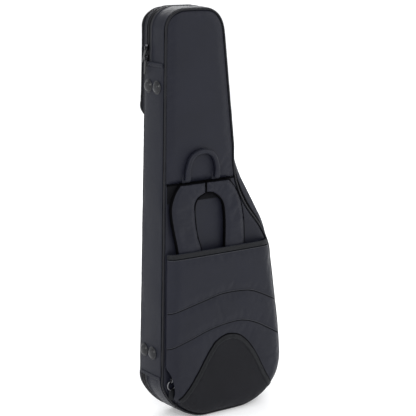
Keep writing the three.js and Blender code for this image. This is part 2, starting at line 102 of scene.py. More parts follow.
def resample(points, step, closed=False):
    p = np.vstack([points, points[:1]]) if closed else np.array(points, float)
    lengths = np.r_[0, np.cumsum(np.linalg.norm(np.diff(p, axis=0), axis=1))]
    count = max(2, int(round(lengths[-1] / step)))
    at = np.linspace(0, lengths[-1], count + 1)
    if closed:
        at = at[:-1]
    return np.stack([np.interp(at, lengths, p[:, k]) for k in range(p.shape[1])], axis=1)


def normals_of(points, closed=True):
    """Unit normals that point out of an anticlockwise curve."""
    if closed:
        tangent = np.roll(points, -1, axis=0) - np.roll(points, 1, axis=0)
    else:
        tangent = np.gradient(points, axis=0)
    tangent /= np.linalg.norm(tangent, axis=1, keepdims=True)
    return np.stack([tangent[:, 1], -tangent[:, 0]], axis=1)


def in_space(normals):
    """Normals in the drawing's plane as directions in space."""
    return np.stack([normals[:, 0], np.zeros(len(normals)), normals[:, 1]], axis=1)


def spine_x(z):
    return np.interp(z, [SPINE_LOW[1], SPINE_HIGH[1]], [SPINE_LOW[0], SPINE_HIGH[0]])


def bag_outline():
    """The bag from the strap side, anticlockwise from the foot of the spine."""
    pieces = [
        np.array([SPINE_LOW]),
        bezier(SPINE_LOW, (-16, 82), (60, 0), (135, 0)),
        np.array([(236, 0)]),
        bezier((236, 0), (315, 0), (384, 48), (382, 128)),
        bezier((382, 128), (380, 195), (356, 325), (344, 405)),
        bezier((344, 405), (341, 440), (333, 490), (309, 526)),
        np.array([(248, 628)]),
        bezier((248, 628), (238, 648), (226, 672), NECK_LOW),
        np.array([NECK_HIGH]),
        bezier(NECK_HIGH, (178, 1052), (152, HEIGHT - 1), (122, HEIGHT - 1)),
        np.array([(62, HEIGHT)]),
        bezier((62, HEIGHT), (30, HEIGHT), (2, 1056), SPINE_HIGH),
    ]
    return resample(np.vstack(pieces), OUTLINE_STEP, closed=True)


OUTLINE = bag_outline()
COUNT = len(OUTLINE)
OFFSET_X = OUTLINE[:, 0].min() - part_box("main_gusset")[0].x / MM
OFFSET_Y = -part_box("back_panel_upper")[1].y / MM


def outline_at(y):
    """The outline at a depth: the right shoulder is drawn in at the strap side."""
    near = np.clip(1 - max(y, 0) / SHOULDER["depth"], 0, 1)
    span = SHOULDER["high"] - SHOULDER["low"]
    along = np.clip((OUTLINE[:, 1] - SHOULDER["low"]) / span, 0, 1)
    pinch = np.where(OUTLINE[:, 0] > 100, SHOULDER["pinch"] * np.sin(np.pi * along) ** 2 * near, 0)
    return np.stack([OUTLINE[:, 0] - pinch, OUTLINE[:, 1]], axis=1)


def inset(distance, y=SHOULDER["depth"]):
    ring = outline_at(y)
    return ring - normals_of(ring) * distance


def depth_at(y, z):
    y = np.asarray(y, float)
    return np.where(y > 0, y * (1 - DEPTH_LOSS / DEPTH * z), y)


def place(x, y, z):
    """Millimetres in the drawing to metres in the row's frame, with the bag's falling depth."""
    x, y, z = np.broadcast_arrays(np.asarray(x, float), np.asarray(y, float), np.asarray(z, float))
    return np.stack([x - OFFSET_X, depth_at(y, z) - OFFSET_Y, z], axis=-1) * MM


def place_level(x, y, z):
    """The same for hard parts, which keep their depth, free of the bag's taper."""
    return np.array([x - OFFSET_X, y - OFFSET_Y, z]) * MM


# ---- Meshes --------------------------------------------------------------------------------
def new_object(name, verts, faces, uvs=None, smooth=True):
    mesh = bpy.data.meshes.new(name)
    mesh.from_pydata([tuple(v) for v in verts], [], [tuple(int(i) for i in f) for f in faces])
    if uvs is not None:
        layer = mesh.uv_layers.new(name="UVMap")
        loops = np.zeros(len(mesh.loops), int)
        mesh.loops.foreach_get("vertex_index", loops)
        layer.data.foreach_set("uv", np.asarray(uvs, float)[loops].ravel())
    mesh.polygons.foreach_set("use_smooth", [smooth] * len(mesh.polygons))
    mesh.update()
    obj = bpy.data.objects.new(name, mesh)
    bpy.context.scene.collection.objects.link(obj)
    return obj


def finish_piece(obj, body, material, replaces=()):
    obj.data.materials.clear()
    obj.data.materials.append(material)
    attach(obj, body)
    if replaces:
        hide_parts(*replaces)
    return obj


def skin_grid(rows, wrap_rows, wrap_columns, cap=False):
    """Faces of a grid of points, given as rows; the last row or column may join the first."""
    n, m = rows.shape[:2]
    faces = []
    for i in range(n if wrap_rows else n - 1):
        for j in range(m if wrap_columns else m - 1):
            a = i * m + j
            b = i * m + (j + 1) % m
            c = ((i + 1) % n) * m + (j + 1) % m
            d = ((i + 1) % n) * m + j
            faces.append((a, b, c, d))
    if cap:
        faces.append(tuple(range(m))[::-1])
        faces.append(tuple((n - 1) * m + j for j in range(m)))
    return faces


def rounded_profile(out0, out1, y0, y1, radius, crown=0.0):
    """A closed profile between two outward offsets and two depths, with rounded corners."""
    points = []
    corners = [(out1, y0, -90), (out1, y1, 0), (out0, y1, 90), (out0, y0, 180)]
    r = min(radius, abs(out1 - out0) / 2 - 0.01, abs(y1 - y0) / 2 - 0.01)
    for index, (out, y, start) in enumerate(corners):
        centre = (out - math.copysign(r, out - (out0 + out1) / 2),
                  y - math.copysign(r, y - (y0 + y1) / 2))
        for k in range(4):
            angle = math.radians(start + 30 * k)
            points.append((centre[0] + r * math.cos(angle), centre[1] + r * math.sin(angle)))
        if index == 0 and y1 - y0 > 8:
            for t in np.linspace(0, 1, 10)[1:-1]:
                points.append((out1 + crown * math.sin(math.pi * t), y0 + r + t * (y1 - y0 - 2 * r)))
    return points


def band(name, profile, start, end, wobble):
    """A closed profile of (outward, depth) swept along the outline between two places, or all round."""
    index = np.arange(COUNT) if start is None else np.arange(start, end + 1) % COUNT
    rows = []
    wave = wobble * np.convolve(RANDOM.normal(size=COUNT + 40), np.hanning(41), "valid")[:COUNT] / 4
    for out, y in profile:
        ring = outline_at(y)
        spot = ring + normals_of(ring) * out
        spot = spot + normals_of(ring) * wave[:, None] * (0 if out < 0.2 else 1)
        rows.append(place(spot[:, 0], y, spot[:, 1])[index])
    grid = np.array(rows).transpose(1, 0, 2)
    along = np.arange(len(index)) * OUTLINE_STEP * MM
    across = np.array([p[1] for p in profile]) * MM
    uv = np.stack(np.broadcast_arrays(along[:, None], across[None, :]), axis=-1)
    closed = start is None
    faces = skin_grid(grid, closed, True, cap=not closed)
    return new_object(name, grid.reshape(-1, 3), faces, uv.reshape(-1, 2))


def nearest(line, x, z):
    """Index of the point of a line nearest a place."""
    return int(np.argmin(np.hypot(line[:, 0] - x, line[:, 1] - z)))


ZIP_END = nearest(OUTLINE, spine_x(ZIP_END_Z), ZIP_END_Z)
ZIP_SIDE = (0, ZIP_END)
SPINE_SIDE = (ZIP_END, COUNT)
ALL_ROUND = (None, None)


def sewn_band(name, span, out, depth, radius, body, material, nodes=(), crown=0.0, wobble=0.0):
    """A band of cloth or foam between two offsets and two depths, finished as a piece."""
    profile = rounded_profile(*out, *depth, radius, crown)
    return finish_piece(band(name, profile, *span, wobble), body, material, nodes)


def clip(outline, low=None, high=None):
    """The part of a closed outline between two heights."""
    for limit, sign in ((low, 1), (high, -1)):
        if limit is None:
            continue
        kept = []
        for a, b in zip(outline, np.roll(outline, -1, axis=0)):
            over_a, over_b = sign * (a[1] - limit) >= 0, sign * (b[1] - limit) >= 0
            if over_a:
                kept.append(a)
            if over_a != over_b:
                kept.append(a + (b - a) * (limit - a[1]) / (b[1] - a[1]))
        outline = np.array(kept)
    return outline


def inside(points, outline):
    x, z = points[:, 0, None], points[:, 1, None]
    a, b = outline, np.roll(outline, -1, axis=0)
    crosses = (a[:, 1] > z) != (b[:, 1] > z)
    slope = (b[:, 0] - a[:, 0]) / np.where(b[:, 1] == a[:, 1], 1e-9, b[:, 1] - a[:, 1])
    return (crosses & (x < a[:, 0] + (z - a[:, 1]) * slope)).sum(axis=1) % 2 == 1


def edge_distance(points, outline, closed=True):
    """Distance from each point to a curve."""
    a = outline if closed else outline[:-1]
    b = np.roll(outline, -1, axis=0) if closed else outline[1:]
    ab = b - a
    size = np.maximum((ab ** 2).sum(axis=1), 1e-9)
    out = np.empty(len(points))
    for i in range(0, len(points), 400):
        p = points[i:i + 400, None, :]
        t = np.clip(((p - a) * ab).sum(axis=2) / size, 0, 1)
        out[i:i + 400] = np.sqrt((((p - a) - t[..., None] * ab) ** 2).sum(axis=2)).min(axis=1)
    return out


def fill(outline, step, rings=(), curves=()):
    """Points and triangles that fill an outline: its edge, rings beside it, a staggered grid."""
    low, high = outline.min(axis=0), outline.max(axis=0)
    parts = []
    normal = normals_of(outline)
    for ring in rings:
        parts.append(outline - normal * ring)
    edge = len(outline) * len(rings)
    for i, z in enumerate(np.arange(low[1], high[1], step * 0.866)):
        xs = np.arange(low[0] + (i % 2) * step / 2, high[0], step)
        parts.append(np.stack([xs, np.full(len(xs), z)], axis=1))
    points = np.vstack(parts) if parts else np.zeros((0, 2))
    distance = edge_distance(points, outline)
    wanted = np.repeat([float(r) for r in rings], len(outline)) if rings else np.zeros(0)
    keep = inside(points, outline)
    keep[:edge] &= np.abs(distance[:edge] - wanted) < 0.25 * wanted + 0.05
    keep[edge:] &= distance[edge:] > (max(rings) if rings else 0) + 0.55 * step
    constraints = []
    extra = []
    count = len(outline)
    for curve in curves:
        curve = curve[inside(curve, outline) & (edge_distance(curve, outline) > 1.0)]
        start = count + sum(len(e) for e in extra)
        constraints += [(start + i, start + i + 1) for i in range(len(curve) - 1)]
        near = edge_distance(points, curve, closed=False)
        keep &= near > 0.5 * step
        extra.append(curve)
    everything = np.vstack([outline] + extra + [points[keep]])
    verts, _, faces, origin, _, _ = delaunay_2d_cdt(
        [Vector(p) for p in everything], constraints, [list(range(count))], 1, 1e-5)
    xz = np.array([(v.x, v.y) for v in verts])
    edge_index = np.full(count, -1)
    for new, olds in enumerate(origin):
        for old in olds:
            if old < count:
                edge_index[old] = new
    return xz, [tuple(f) for f in faces], edge_index[edge_index >= 0]


def faced(verts, faces, towards):
    """Faces turned so that the first one, and so all of them, look along a direction."""
    out = []
    for face in faces:
        a, b, c = (verts[i] for i in face[:3])
        out.append(face if np.dot(np.cross(b - a, c - a), towards) > 0 else face[::-1])
    return out


# ---- Cloth ---------------------------------------------------------------------------------
def inflate(verts, faces, pinned, pressure, slack, cap, frames=20, stiffness=12.0):
    """Cloth blown out between its pinned seams, in metres; returns the moved points."""
    mesh = bpy.data.meshes.new("cloth_trial")
    mesh.from_pydata([tuple(v) for v in verts], [], faces)
    trial = bpy.data.objects.new("cloth_trial", mesh)
    bpy.context.scene.collection.objects.link(trial)
    group = trial.vertex_groups.new(name="pinned")
    group.add([int(i) for i in pinned], 1.0, "REPLACE")
    cloth = trial.modifiers.new("Cloth", "CLOTH")
    settings = cloth.settings
    settings.quality = 6
    settings.mass = 0.25
    settings.tension_stiffness = stiffness
    settings.compression_stiffness = stiffness
    settings.shear_stiffness = stiffness * 0.6
    settings.bending_stiffness = 0.4
    settings.vertex_group_mass = "pinned"
    settings.use_pressure = True
    settings.uniform_pressure_force = pressure
    settings.shrink_min = -slack
    settings.effector_weights.gravity = 0
    cloth.point_cache.frame_start = 1
    cloth.point_cache.frame_end = frames
    scene = bpy.context.scene
    for at in range(1, frames + 1):
        scene.frame_set(at)
    result = trial.evaluated_get(bpy.context.evaluated_depsgraph_get()).to_mesh()
    moved = np.empty(len(result.vertices) * 3)
    result.vertices.foreach_get("co", moved)
    moved = moved.reshape(-1, 3)
    bpy.data.objects.remove(trial)
    bpy.data.meshes.remove(mesh)
    scene.frame_set(1)
    move = moved - verts
    size = np.linalg.norm(move, axis=1, keepdims=True)
    return verts + move * np.minimum(1, cap * MM / np.maximum(size, 1e-9))


def closed_body(name, front, back, faces, rim, xz, back_uv_shift):
    """A front and a back with the same faces, joined by a rim."""
    count = len(front)
    every = list(faces) + [tuple(i + count for i in f[::-1]) for f in faces]
    edges = {(a, b) for f in faces for a, b in zip(f, f[1:] + f[:1])}
    for a, b in zip(rim, np.roll(rim, -1)):
        if (b, a) in edges:
            a, b = b, a
        every.append((b, a, a + count, b + count))
    return new_object(name, np.vstack([front, back]), every, np.vstack([xz, xz + back_uv_shift]) * MM)


def shell_body(name, xz, faces, rim, front, thickness, towards=-1):
    """A closed cloth body: a shaped front, a back a little behind it, and a rim between them."""
    back = front - np.array([0, towards * thickness * MM, 0])
    faces = faced(front, faces, np.array([0, towards, 0]))
    return closed_body(name, front, back, faces, rim, xz, 500)


def roll(distance, width, height, power=2.2):
    """Height of a rolled edge at a distance in from it."""
    t = np.clip(distance / width, 0, 1)
    return height * (1 - (1 - t) ** power) ** (1 / power)


def groove(distance, width, depth):
    """A sewn channel: deepest on its line."""
    return depth * np.exp(-(distance / width) ** 2)


def ripple(points, scale, amount, seed):
    """Slow seeded unevenness over a surface."""
    rng = np.random.default_rng(seed)
    out = np.zeros(len(points))
    for k in range(6):
        angle, phase = rng.uniform(0, 2 * math.pi, 2)
        wave = scale * rng.uniform(0.6, 1.6)
        along = points[:, 0] * math.cos(angle) + points[:, 1] * math.sin(angle)
        out += np.sin(along * 2 * math.pi / wave + phase) / 6
    return out * amount


# ---- Tubes, strips and small parts ---------------------------------------------------------
def unit(vectors):
    """Vectors along the last axis, each one unit long."""
    return vectors / np.maximum(np.linalg.norm(vectors, axis=-1, keepdims=True), 1e-9)


def lengths_along(path):
    """How far along a path each of its points lies."""
    return np.r_[0, np.cumsum(np.linalg.norm(np.diff(path, axis=0), axis=1))]


def tube(name, path, half_wide, half_thick, up=OUT_FRONT, sides=12, closed=False, power=2.0):
    """A rounded section swept along a path in metres; its thickness is along up."""
    path = np.asarray(path, float)
    if closed:
        tangent = unit(np.roll(path, -1, axis=0) - np.roll(path, 1, axis=0))
    else:
        tangent = unit(np.gradient(path, axis=0))
    side = unit(np.cross(tangent, np.broadcast_to(np.asarray(up, float), path.shape)))
    lift = np.cross(side, tangent)
    wide = np.broadcast_to(np.asarray(half_wide, float) * MM, len(path))
    thick = np.broadcast_to(np.asarray(half_thick, float) * MM, len(path))
    angle = np.arange(sides) * 2 * math.pi / sides
    c = np.sign(np.cos(angle)) * np.abs(np.cos(angle)) ** (2 / power)
    s = np.sign(np.sin(angle)) * np.abs(np.sin(angle)) ** (2 / power)
    grid = (path[:, None, :] + side[:, None, :] * (wide[:, None] * c)[..., None]
            + lift[:, None, :] * (thick[:, None] * s)[..., None])
    u, v = np.broadcast_arrays(lengths_along(path)[:, None], (angle * 0.01)[None, :])
    faces = skin_grid(grid, closed, True, cap=not closed)
    obj = new_object(name, grid.reshape(-1, 3), faces, np.stack([u, v], axis=-1).reshape(-1, 2))
    return fix_normals(obj)


def fix_normals(obj):
    bm = bmesh.new()
    bm.from_mesh(obj.data)
    bmesh.ops.recalc_face_normals(bm, faces=bm.faces)
    bm.to_mesh(obj.data)
    bm.free()
    return obj


def sharp_edges(obj, degrees=35):
    """Hard parts keep their crisp edges."""
    obj.data.set_sharp_from_angle(angle=math.radians(degrees))
    return obj


def box_shape(name, size, radius):
    """A rounded block about the origin, in millimetres."""
    bm = bmesh.new()
    bmesh.ops.create_cube(bm, size=1.0)
    bmesh.ops.scale(bm, vec=Vector(size) * MM, verts=bm.verts)
    bmesh.ops.bevel(bm, geom=list(bm.edges), offset=radius * MM, segments=2,
                    profile=0.5, affect="EDGES")
    mesh = bpy.data.meshes.new(name)
    bm.to_mesh(mesh)
    bm.free()
    mesh.polygons.foreach_set("use_smooth", [True] * len(mesh.polygons))
    obj = bpy.data.objects.new(name, mesh)
    bpy.context.scene.collection.objects.link(obj)
    return obj


def joined(name, objects):
    """Several mesh objects made into one."""
    bm = bmesh.new()
    for obj in objects:
        obj.data.transform(obj.matrix_basis)
        bm.from_mesh(obj.data)
        bpy.data.objects.remove(obj)
    mesh = bpy.data.meshes.new(name)
    bm.to_mesh(mesh)
    bm.free()
    result = bpy.data.objects.new(name, mesh)
    bpy.context.scene.collection.objects.link(result)
    return result


def lathe(name, profile, sides=48):
    """A profile of (radius, height) in millimetres turned about Z."""
    profile = np.array(profile, float) * MM
    angle = np.arange(sides) * 2 * math.pi / sides
    grid = np.stack([profile[:, None, 0] * np.cos(angle), profile[:, None, 0] * np.sin(angle),
                     np.broadcast_to(profile[:, None, 1], (len(profile), sides))], axis=-1)
    return fix_normals(new_object(name, grid.reshape(-1, 3), skin_grid(grid, False, True, cap=True)))


STITCH_PITCH = 4.2
STITCH_LENGTH = 2.9
STITCH_HALF_WIDE = 0.42
STITCH_HALF_THICK = 0.34
STITCH_FACES = [(0, 2, 3), (0, 3, 4), (0, 4, 5), (0, 5, 2), (1, 3, 2), (1, 4, 3), (1, 5, 4), (1, 2, 5)]


def stitch_row(path, normal):
    """Stitches along a path in metres, standing a little proud: their points and how many."""
    path = np.asarray(path, float)
    lengths = lengths_along(path)
    count = max(1, int(lengths[-1] / (STITCH_PITCH * MM)))
    centres = (np.arange(count) + 0.5) * lengths[-1] / count

    def at(distance, values=path):
        return np.stack([np.interp(distance, lengths, values[:, k]) for k in range(3)], axis=1)

    half = STITCH_LENGTH * MM / 2
    start, end, mid = at(centres - half), at(centres + half), at(centres)
    along = unit(end - start)
    normal = np.asarray(normal, float)
    normal = at(centres, normal) if normal.ndim == 2 else np.broadcast_to(normal, along.shape)
    lift = normal * STITCH_HALF_THICK * MM
    wide = unit(np.cross(along, normal)) * STITCH_HALF_WIDE * MM
    verts = np.stack([start, end, mid + wide, mid + lift, mid - wide, mid - lift], axis=1)
    return verts.reshape(-1, 3), count


def thread(name, rows, body):
    """All the stitch rows on one body as one piece."""
    verts, faces = [], []
    for path, normal in rows:
        points, count = stitch_row(path, normal)
        start = sum(len(v) for v in verts)
        verts.append(points)
        faces += [tuple(start + 6 * i + k for k in f) for i in range(count) for f in STITCH_FACES]
    obj = fix_normals(new_object(name, np.vstack(verts), faces, smooth=False))
    finish_piece(obj, body, THREAD)


# ---- Materials -----------------------------------------------------------------------------
def base_material(name, colour, roughness, metallic=0.0, sheen=0.0, specular=0.5, coat=0.0):
    material = bpy.data.materials.new(name)
    material.use_nodes = True
    tree = material.node_tree
    shader = tree.nodes["Principled BSDF"]
    shader.inputs["Base Color"].default_value = (*colour, 1)
    shader.inputs["Roughness"].default_value = roughness
    shader.inputs["Metallic"].default_value = metallic
    shader.inputs["Sheen Weight"].default_value = sheen
    shader.inputs["Sheen Roughness"].default_value = 0.4
    shader.inputs["Sheen Tint"].default_value = (0.75, 0.8, 1.0, 1)
    shader.inputs["Specular IOR Level"].default_value = specular
    shader.inputs["Coat Weight"].default_value = coat
    shader.inputs["Coat Roughness"].default_value = 0.12
    return material, tree, shader


def maths(tree, kind, a, b=None):
    node = tree.nodes.new("ShaderNodeMath")
    node.operation = kind
    for i, value in enumerate((a, b)):
        if value is None:
            continue
        if isinstance(value, (int, float)):
            node.inputs[i].default_value = value
        else:
            tree.links.new(value, node.inputs[i])
    return node.outputs[0]


def noise(tree, coordinates, scale, detail=3.0):
    node = tree.nodes.new("ShaderNodeTexNoise")
    node.inputs["Scale"].default_value = scale
    node.inputs["Detail"].default_value = detail
    tree.links.new(coordinates, node.inputs["Vector"])
    return node.outputs["Fac"]


def tinted(tree, factor, dark, light):
    """A colour between two others; the factor's middle is the middle of the mix."""
    ramp = tree.nodes.new("ShaderNodeValToRGB")
    ramp.color_ramp.elements[0].position = 0.25
    ramp.color_ramp.elements[0].color = (*dark, 1)
    ramp.color_ramp.elements[1].position = 0.75
    ramp.color_ramp.elements[1].color = (*light, 1)
    tree.links.new(factor, ramp.inputs[0])
    return ramp.outputs[0]


def bumped(tree, shader, height, strength, distance):
    bump = tree.nodes.new("ShaderNodeBump")
    bump.inputs["Strength"].default_value = strength
    bump.inputs["Distance"].default_value = distance * MM
    tree.links.new(height, bump.inputs["Height"])
    tree.links.new(bump.outputs[0], shader.inputs["Normal"])


def cloth_material(name, colour, roughness, pitch, weave_depth, sheen, specular, vary=0.18,
                   ribs=None, fuzz=0.15, soft=0.0):
    """Woven cloth: crossed threads of a pitch in millimetres, or ribs across one direction."""
    material, tree, shader = base_material(
        name, colour, roughness, sheen=sheen, specular=specular)
    spot = tree.nodes.new("ShaderNodeTexCoord").outputs["Object"]
    split = tree.nodes.new("ShaderNodeSeparateXYZ")
    tree.links.new(spot, split.inputs[0])
    k = 2 * math.pi / (pitch * MM)
    across = maths(tree, "ADD", split.outputs[0], split.outputs[1])

    def waves(direction):
        return maths(tree, "SINE", maths(tree, "MULTIPLY", direction, k))

    if ribs == "along":
        threads = waves(across)
    elif ribs == "up":
        threads = waves(split.outputs[2])
    else:
        threads = maths(tree, "MULTIPLY", waves(across), waves(split.outputs[2]))
    grain = noise(tree, spot, 900, 2.0)
    slow = noise(tree, spot, 9, 3.0)
    height = maths(tree, "ADD", threads, maths(tree, "MULTIPLY", grain, fuzz * 4))
    if soft:
        waves = noise(tree, spot, 28, 2.0)
        height = maths(tree, "ADD", height, maths(tree, "MULTIPLY", waves, soft))
    bumped(tree, shader, height, 0.7, weave_depth)
    mix = maths(tree, "ADD", maths(tree, "MULTIPLY", slow, 0.7),
                maths(tree, "MULTIPLY", threads, 0.14))
    mix = maths(tree, "ADD", mix, maths(tree, "MULTIPLY", grain, 0.3))
    dark = tuple(c * (1 - vary) for c in colour)
    light = tuple(c * (1 + vary * 1.3) for c in colour)
    tree.links.new(tinted(tree, mix, dark, light), shader.inputs["Base Color"])
    rough = maths(tree, "ADD", maths(tree, "MULTIPLY", slow, 0.16), roughness - 0.08)
    tree.links.new(rough, shader.inputs["Roughness"])
    return material


def hard_material(name, colour, roughness, metallic=0.0, coat=0.0, specular=0.5):
    """Moulded or plated parts: fine unevenness, with wear in the roughness."""
    material, tree, shader = base_material(
        name, colour, roughness, metallic=metallic, coat=coat, specular=specular)
    spot = tree.nodes.new("ShaderNodeTexCoord").outputs["Object"]
    worn = noise(tree, spot, 60, 4.0)
    fine = noise(tree, spot, 1400, 2.0)
    dark = tuple(c * 0.88 for c in colour)
    light = tuple(c * 1.12 for c in colour)
    tree.links.new(tinted(tree, worn, dark, light), shader.inputs["Base Color"])
    rough = maths(tree, "ADD", maths(tree, "MULTIPLY", worn, 0.14), roughness - 0.07)
    tree.links.new(rough, shader.inputs["Roughness"])
    bumped(tree, shader, fine, 0.15, 0.05)
    return material


RIBBED = (0.0072, 0.0078, 0.0092)
NYLON = cloth_material("satin_nylon", (0.0076, 0.0083, 0.0142), 0.40, 1.1, 0.08, sheen=0.02,
                       specular=0.18, soft=0.3)
# The side cloth is a darker copy of the panel nylon: its darker colour is painted shade on the sides and
# spine.
NYLON_SIDE_SHADED = cloth_material("side_nylon_shaded", (0.0066, 0.0074, 0.0128), 0.44, 1.1, 0.08, sheen=0.02,
                            specular=0.13, soft=0.3)
NYLON_LID = cloth_material("lid_nylon", (0.0062, 0.0066, 0.0102), 0.56, 1.1, 0.09, sheen=0.01,
                           specular=0.09, soft=0.6)
COARSE = cloth_material("coarse_weave", (0.0080, 0.0081, 0.0102), 0.66, 2.6, 0.55, vary=0.35,
                        sheen=0.02, specular=0.12)
# The spacer mesh is near-black partly for its own dark colour and partly as painted shade in the gap
# between the strap pads.
MESH_CLOTH_SHADED = cloth_material("spacer_mesh_painted_shade", (0.0040, 0.0041, 0.0052), 0.72, 3.2, 0.6, vary=0.4,
                            sheen=0.01, specular=0.08)
TAPE = cloth_material("ribbed_tape", RIBBED, 0.55, 3.4, 0.8, ribs="along",
                      sheen=0.03, specular=0.16)
TAPE_UP = cloth_material("ribbed_tape_up", RIBBED, 0.55, 3.4, 0.8, ribs="up",
                         sheen=0.03, specular=0.16)
CORD = cloth_material("corded_edge", (0.0050, 0.0053, 0.0075), 0.38, 1.3, 0.10, sheen=0.02,
                      specular=0.20)
BEAD = cloth_material("binding_bead", (0.0150, 0.0155, 0.0205), 0.40, 1.2, 0.10, sheen=0.05,
                      specular=0.26)
# A lighter cloth that paints the highlight along the sewn folds on the pocket.
FOLD_HIGHLIGHT = cloth_material("painted_fold_highlight", (0.0230, 0.0245, 0.0310), 0.45, 1.2, 0.08, sheen=0.05,
                          specular=0.26)
# Near-black cloth that paints shade: in the grooves beside the corded edges, along the strap pads' sides,
# at the strap roots and in the pocket's folds. It also draws the dark line outside the worn patch's border.
SEAM_SHADE = cloth_material("painted_seam_shade", (0.0012, 0.0012, 0.0016), 0.8, 1.3, 0.10, sheen=0.0,
                            specular=0.03)
ZIP_CLOTH = cloth_material("zip_tape", (0.0036, 0.0037, 0.0048), 0.74, 1.4, 0.16, ribs="up",
                           sheen=0.01, specular=0.10)
THREAD = cloth_material("thread", (0.012, 0.0122, 0.016), 0.5, 0.5, 0.05, sheen=0.05, specular=0.25)
PLUSH = cloth_material("short_plush", (0.040, 0.041, 0.048), 0.9, 1.9, 0.9, vary=0.3, sheen=0.6,
                       specular=0.2, fuzz=0.9)
RUBBER = hard_material("moulded_rubber", (0.0070, 0.0075, 0.0095), 0.30, specular=0.34)
PULL_METAL = hard_material("black_pull", (0.0060, 0.0060, 0.0068), 0.32, coat=0.15)
SLIDER_METAL = hard_material("slider_plate", (0.13, 0.13, 0.14), 0.26, metallic=1.0)
PLASTIC = hard_material("moulded_plastic", (0.014, 0.014, 0.016), 0.38, coat=0.1)
COIL = hard_material("coil_teeth", (0.0070, 0.0070, 0.0085), 0.40, coat=0.05, specular=0.2)
NICKEL = hard_material("nickel_plate", (0.17, 0.17, 0.18), 0.30, metallic=1.0)


# ---- Camera, light and floor ---------------------------------------------------------------
TARGET = Vector((-0.00141, 0.01112, 0.5429))
TURN, RISE, LEAN = math.radians(36.164), math.radians(12.694), math.radians(0.603)
DISTANCE = 4.0416
LENS, SENSOR = 133.79, 36
FLOOR_HALF, FLOOR_GAP = 14.0, 0.0008


def add_camera():
    back = Vector((-math.sin(TURN) * math.cos(RISE), -math.cos(TURN) * math.cos(RISE), math.sin(RISE)))
    right = Vector((math.cos(TURN), -math.sin(TURN), 0))
    up = back.cross(right)
    leaning_right = math.cos(LEAN) * right + math.sin(LEAN) * up
    leaning_up = back.cross(leaning_right)
    camera = bpy.data.cameras.new("camera")
    camera.lens = LENS
    camera.sensor_width = SENSOR
    camera.clip_end = 50
    obj = bpy.data.objects.new("camera", camera)
    matrix = Matrix((leaning_right, leaning_up, back)).transposed().to_4x4()
    matrix.translation = TARGET + back * DISTANCE
    obj.matrix_world = matrix
    bpy.context.scene.collection.objects.link(obj)
    bpy.context.scene.camera = obj


def add_light(name, place_at, aim, energy, size, size_y):
    light = bpy.data.lights.new(name, "AREA")
    light.energy = energy
    light.shape = "RECTANGLE"
    light.size = size
    light.size_y = size_y
    obj = bpy.data.objects.new(name, light)
    obj.location = place_at
    obj.rotation_euler = (Vector(aim) - Vector(place_at)).to_track_quat("-Z", "Y").to_euler()
    bpy.context.scene.collection.objects.link(obj)


def add_studio():
    world = bpy.data.worlds.new("studio")
    world.use_nodes = True
    world.node_tree.nodes["Background"].inputs[0].default_value = (0.97, 0.98, 1.0, 1)
    world.node_tree.nodes["Background"].inputs[1].default_value = 1.0
    bpy.context.scene.world = world
    bpy.context.scene.view_settings.view_transform = "Standard"
    floor_material, _, shader = base_material("pale_floor", (0.9, 0.9, 0.9), 0.9, specular=0.1)
    shader.inputs["Emission Color"].default_value = (1, 1, 1, 1)
    shader.inputs["Emission Strength"].default_value = 0.22
    corners = [(-FLOOR_HALF, -FLOOR_HALF), (FLOOR_HALF, -FLOOR_HALF), (FLOOR_HALF, FLOOR_HALF),
               (-FLOOR_HALF, FLOOR_HALF)]
    floor = new_object("floor", [(x, y, -FLOOR_GAP) for x, y in corners], [(0, 1, 2, 3)], smooth=False)
    floor.data.materials.append(floor_material)
    add_light("key", (-2.6, -3.4, 3.0), (0, 0, 0.5), 70, 1.6, 1.6)
    add_light("side", (-3.6, 0.4, 1.6), (-0.1, 0, 0.6), 18, 0.8, 2.4)
    add_light("right", (3.4, -2.2, 2.0), (0.1, 0, 0.5), 26, 1.0, 2.0)
    add_light("behind", (1.5, 3.6, 2.6), (0, 0, 0.5), 45, 2.0, 2.0)


add_camera()
add_studio()

# ---- Face panels ---------------------------------------------------------------------------
RINGS = (0.7, 1.8, 3.4, 5.6, 8.6, 12.5)


def panel_piece(name, outline, body, material, front_at, thickness, replaces, step=7.0,
                channels=(), towards=-1, blow=None, curves=()):
    """A padded cloth face: shaped, blown out by simulation between its seams, and closed."""
    outline = resample(outline, OUTLINE_STEP, closed=True)
    xz, faces, rim = fill(outline, step, RINGS, curves)
    distance = edge_distance(xz, outline)
    front = place(xz[:, 0], front_at(xz, distance), xz[:, 1])
    faces = faced(front, faces, np.array([0, towards, 0]))
    if blow:
        pinned = distance < 1.0
        for line, reach in channels:
            pinned |= edge_distance(xz, line, closed=False) < reach
        front = inflate(front, faces, np.flatnonzero(pinned), **blow)
    obj = shell_body(name, xz, faces, rim, front, thickness, towards)
    finish_piece(obj, body, material, replaces)
    return obj


def upper_front(xz, distance):
    low_seam = np.abs(xz[:, 1] - SEAM_Z)
    rise = roll(distance, 16, 3.4)
    return 0.6 - rise - 1.2 * np.sin(np.clip(distance / 90, 0, 1) * math.pi / 2) \
        + groove(low_seam, 5, 0.8) + ripple(xz, 190, 0.35, 3)


def lower_front(xz, distance):
    return 0.4 - roll(distance, 10, 2.6) + ripple(xz, 120, 0.2, 4)


FACE = inset(FACE_INSET, 0)
panel_piece("upper_panel_cloth", clip(FACE, low=SEAM_Z + SEAM_GAP), "shell", NYLON, upper_front, 1.6,
            ["back_panel_upper"], blow={"pressure": 2.0, "slack": 0.006, "cap": 1.6})
panel_piece("lower_panel_cloth", clip(FACE, high=SEAM_Z - SEAM_GAP), "shell", NYLON, lower_front, 1.6,
            ["back_panel_lower"], step=9.0)

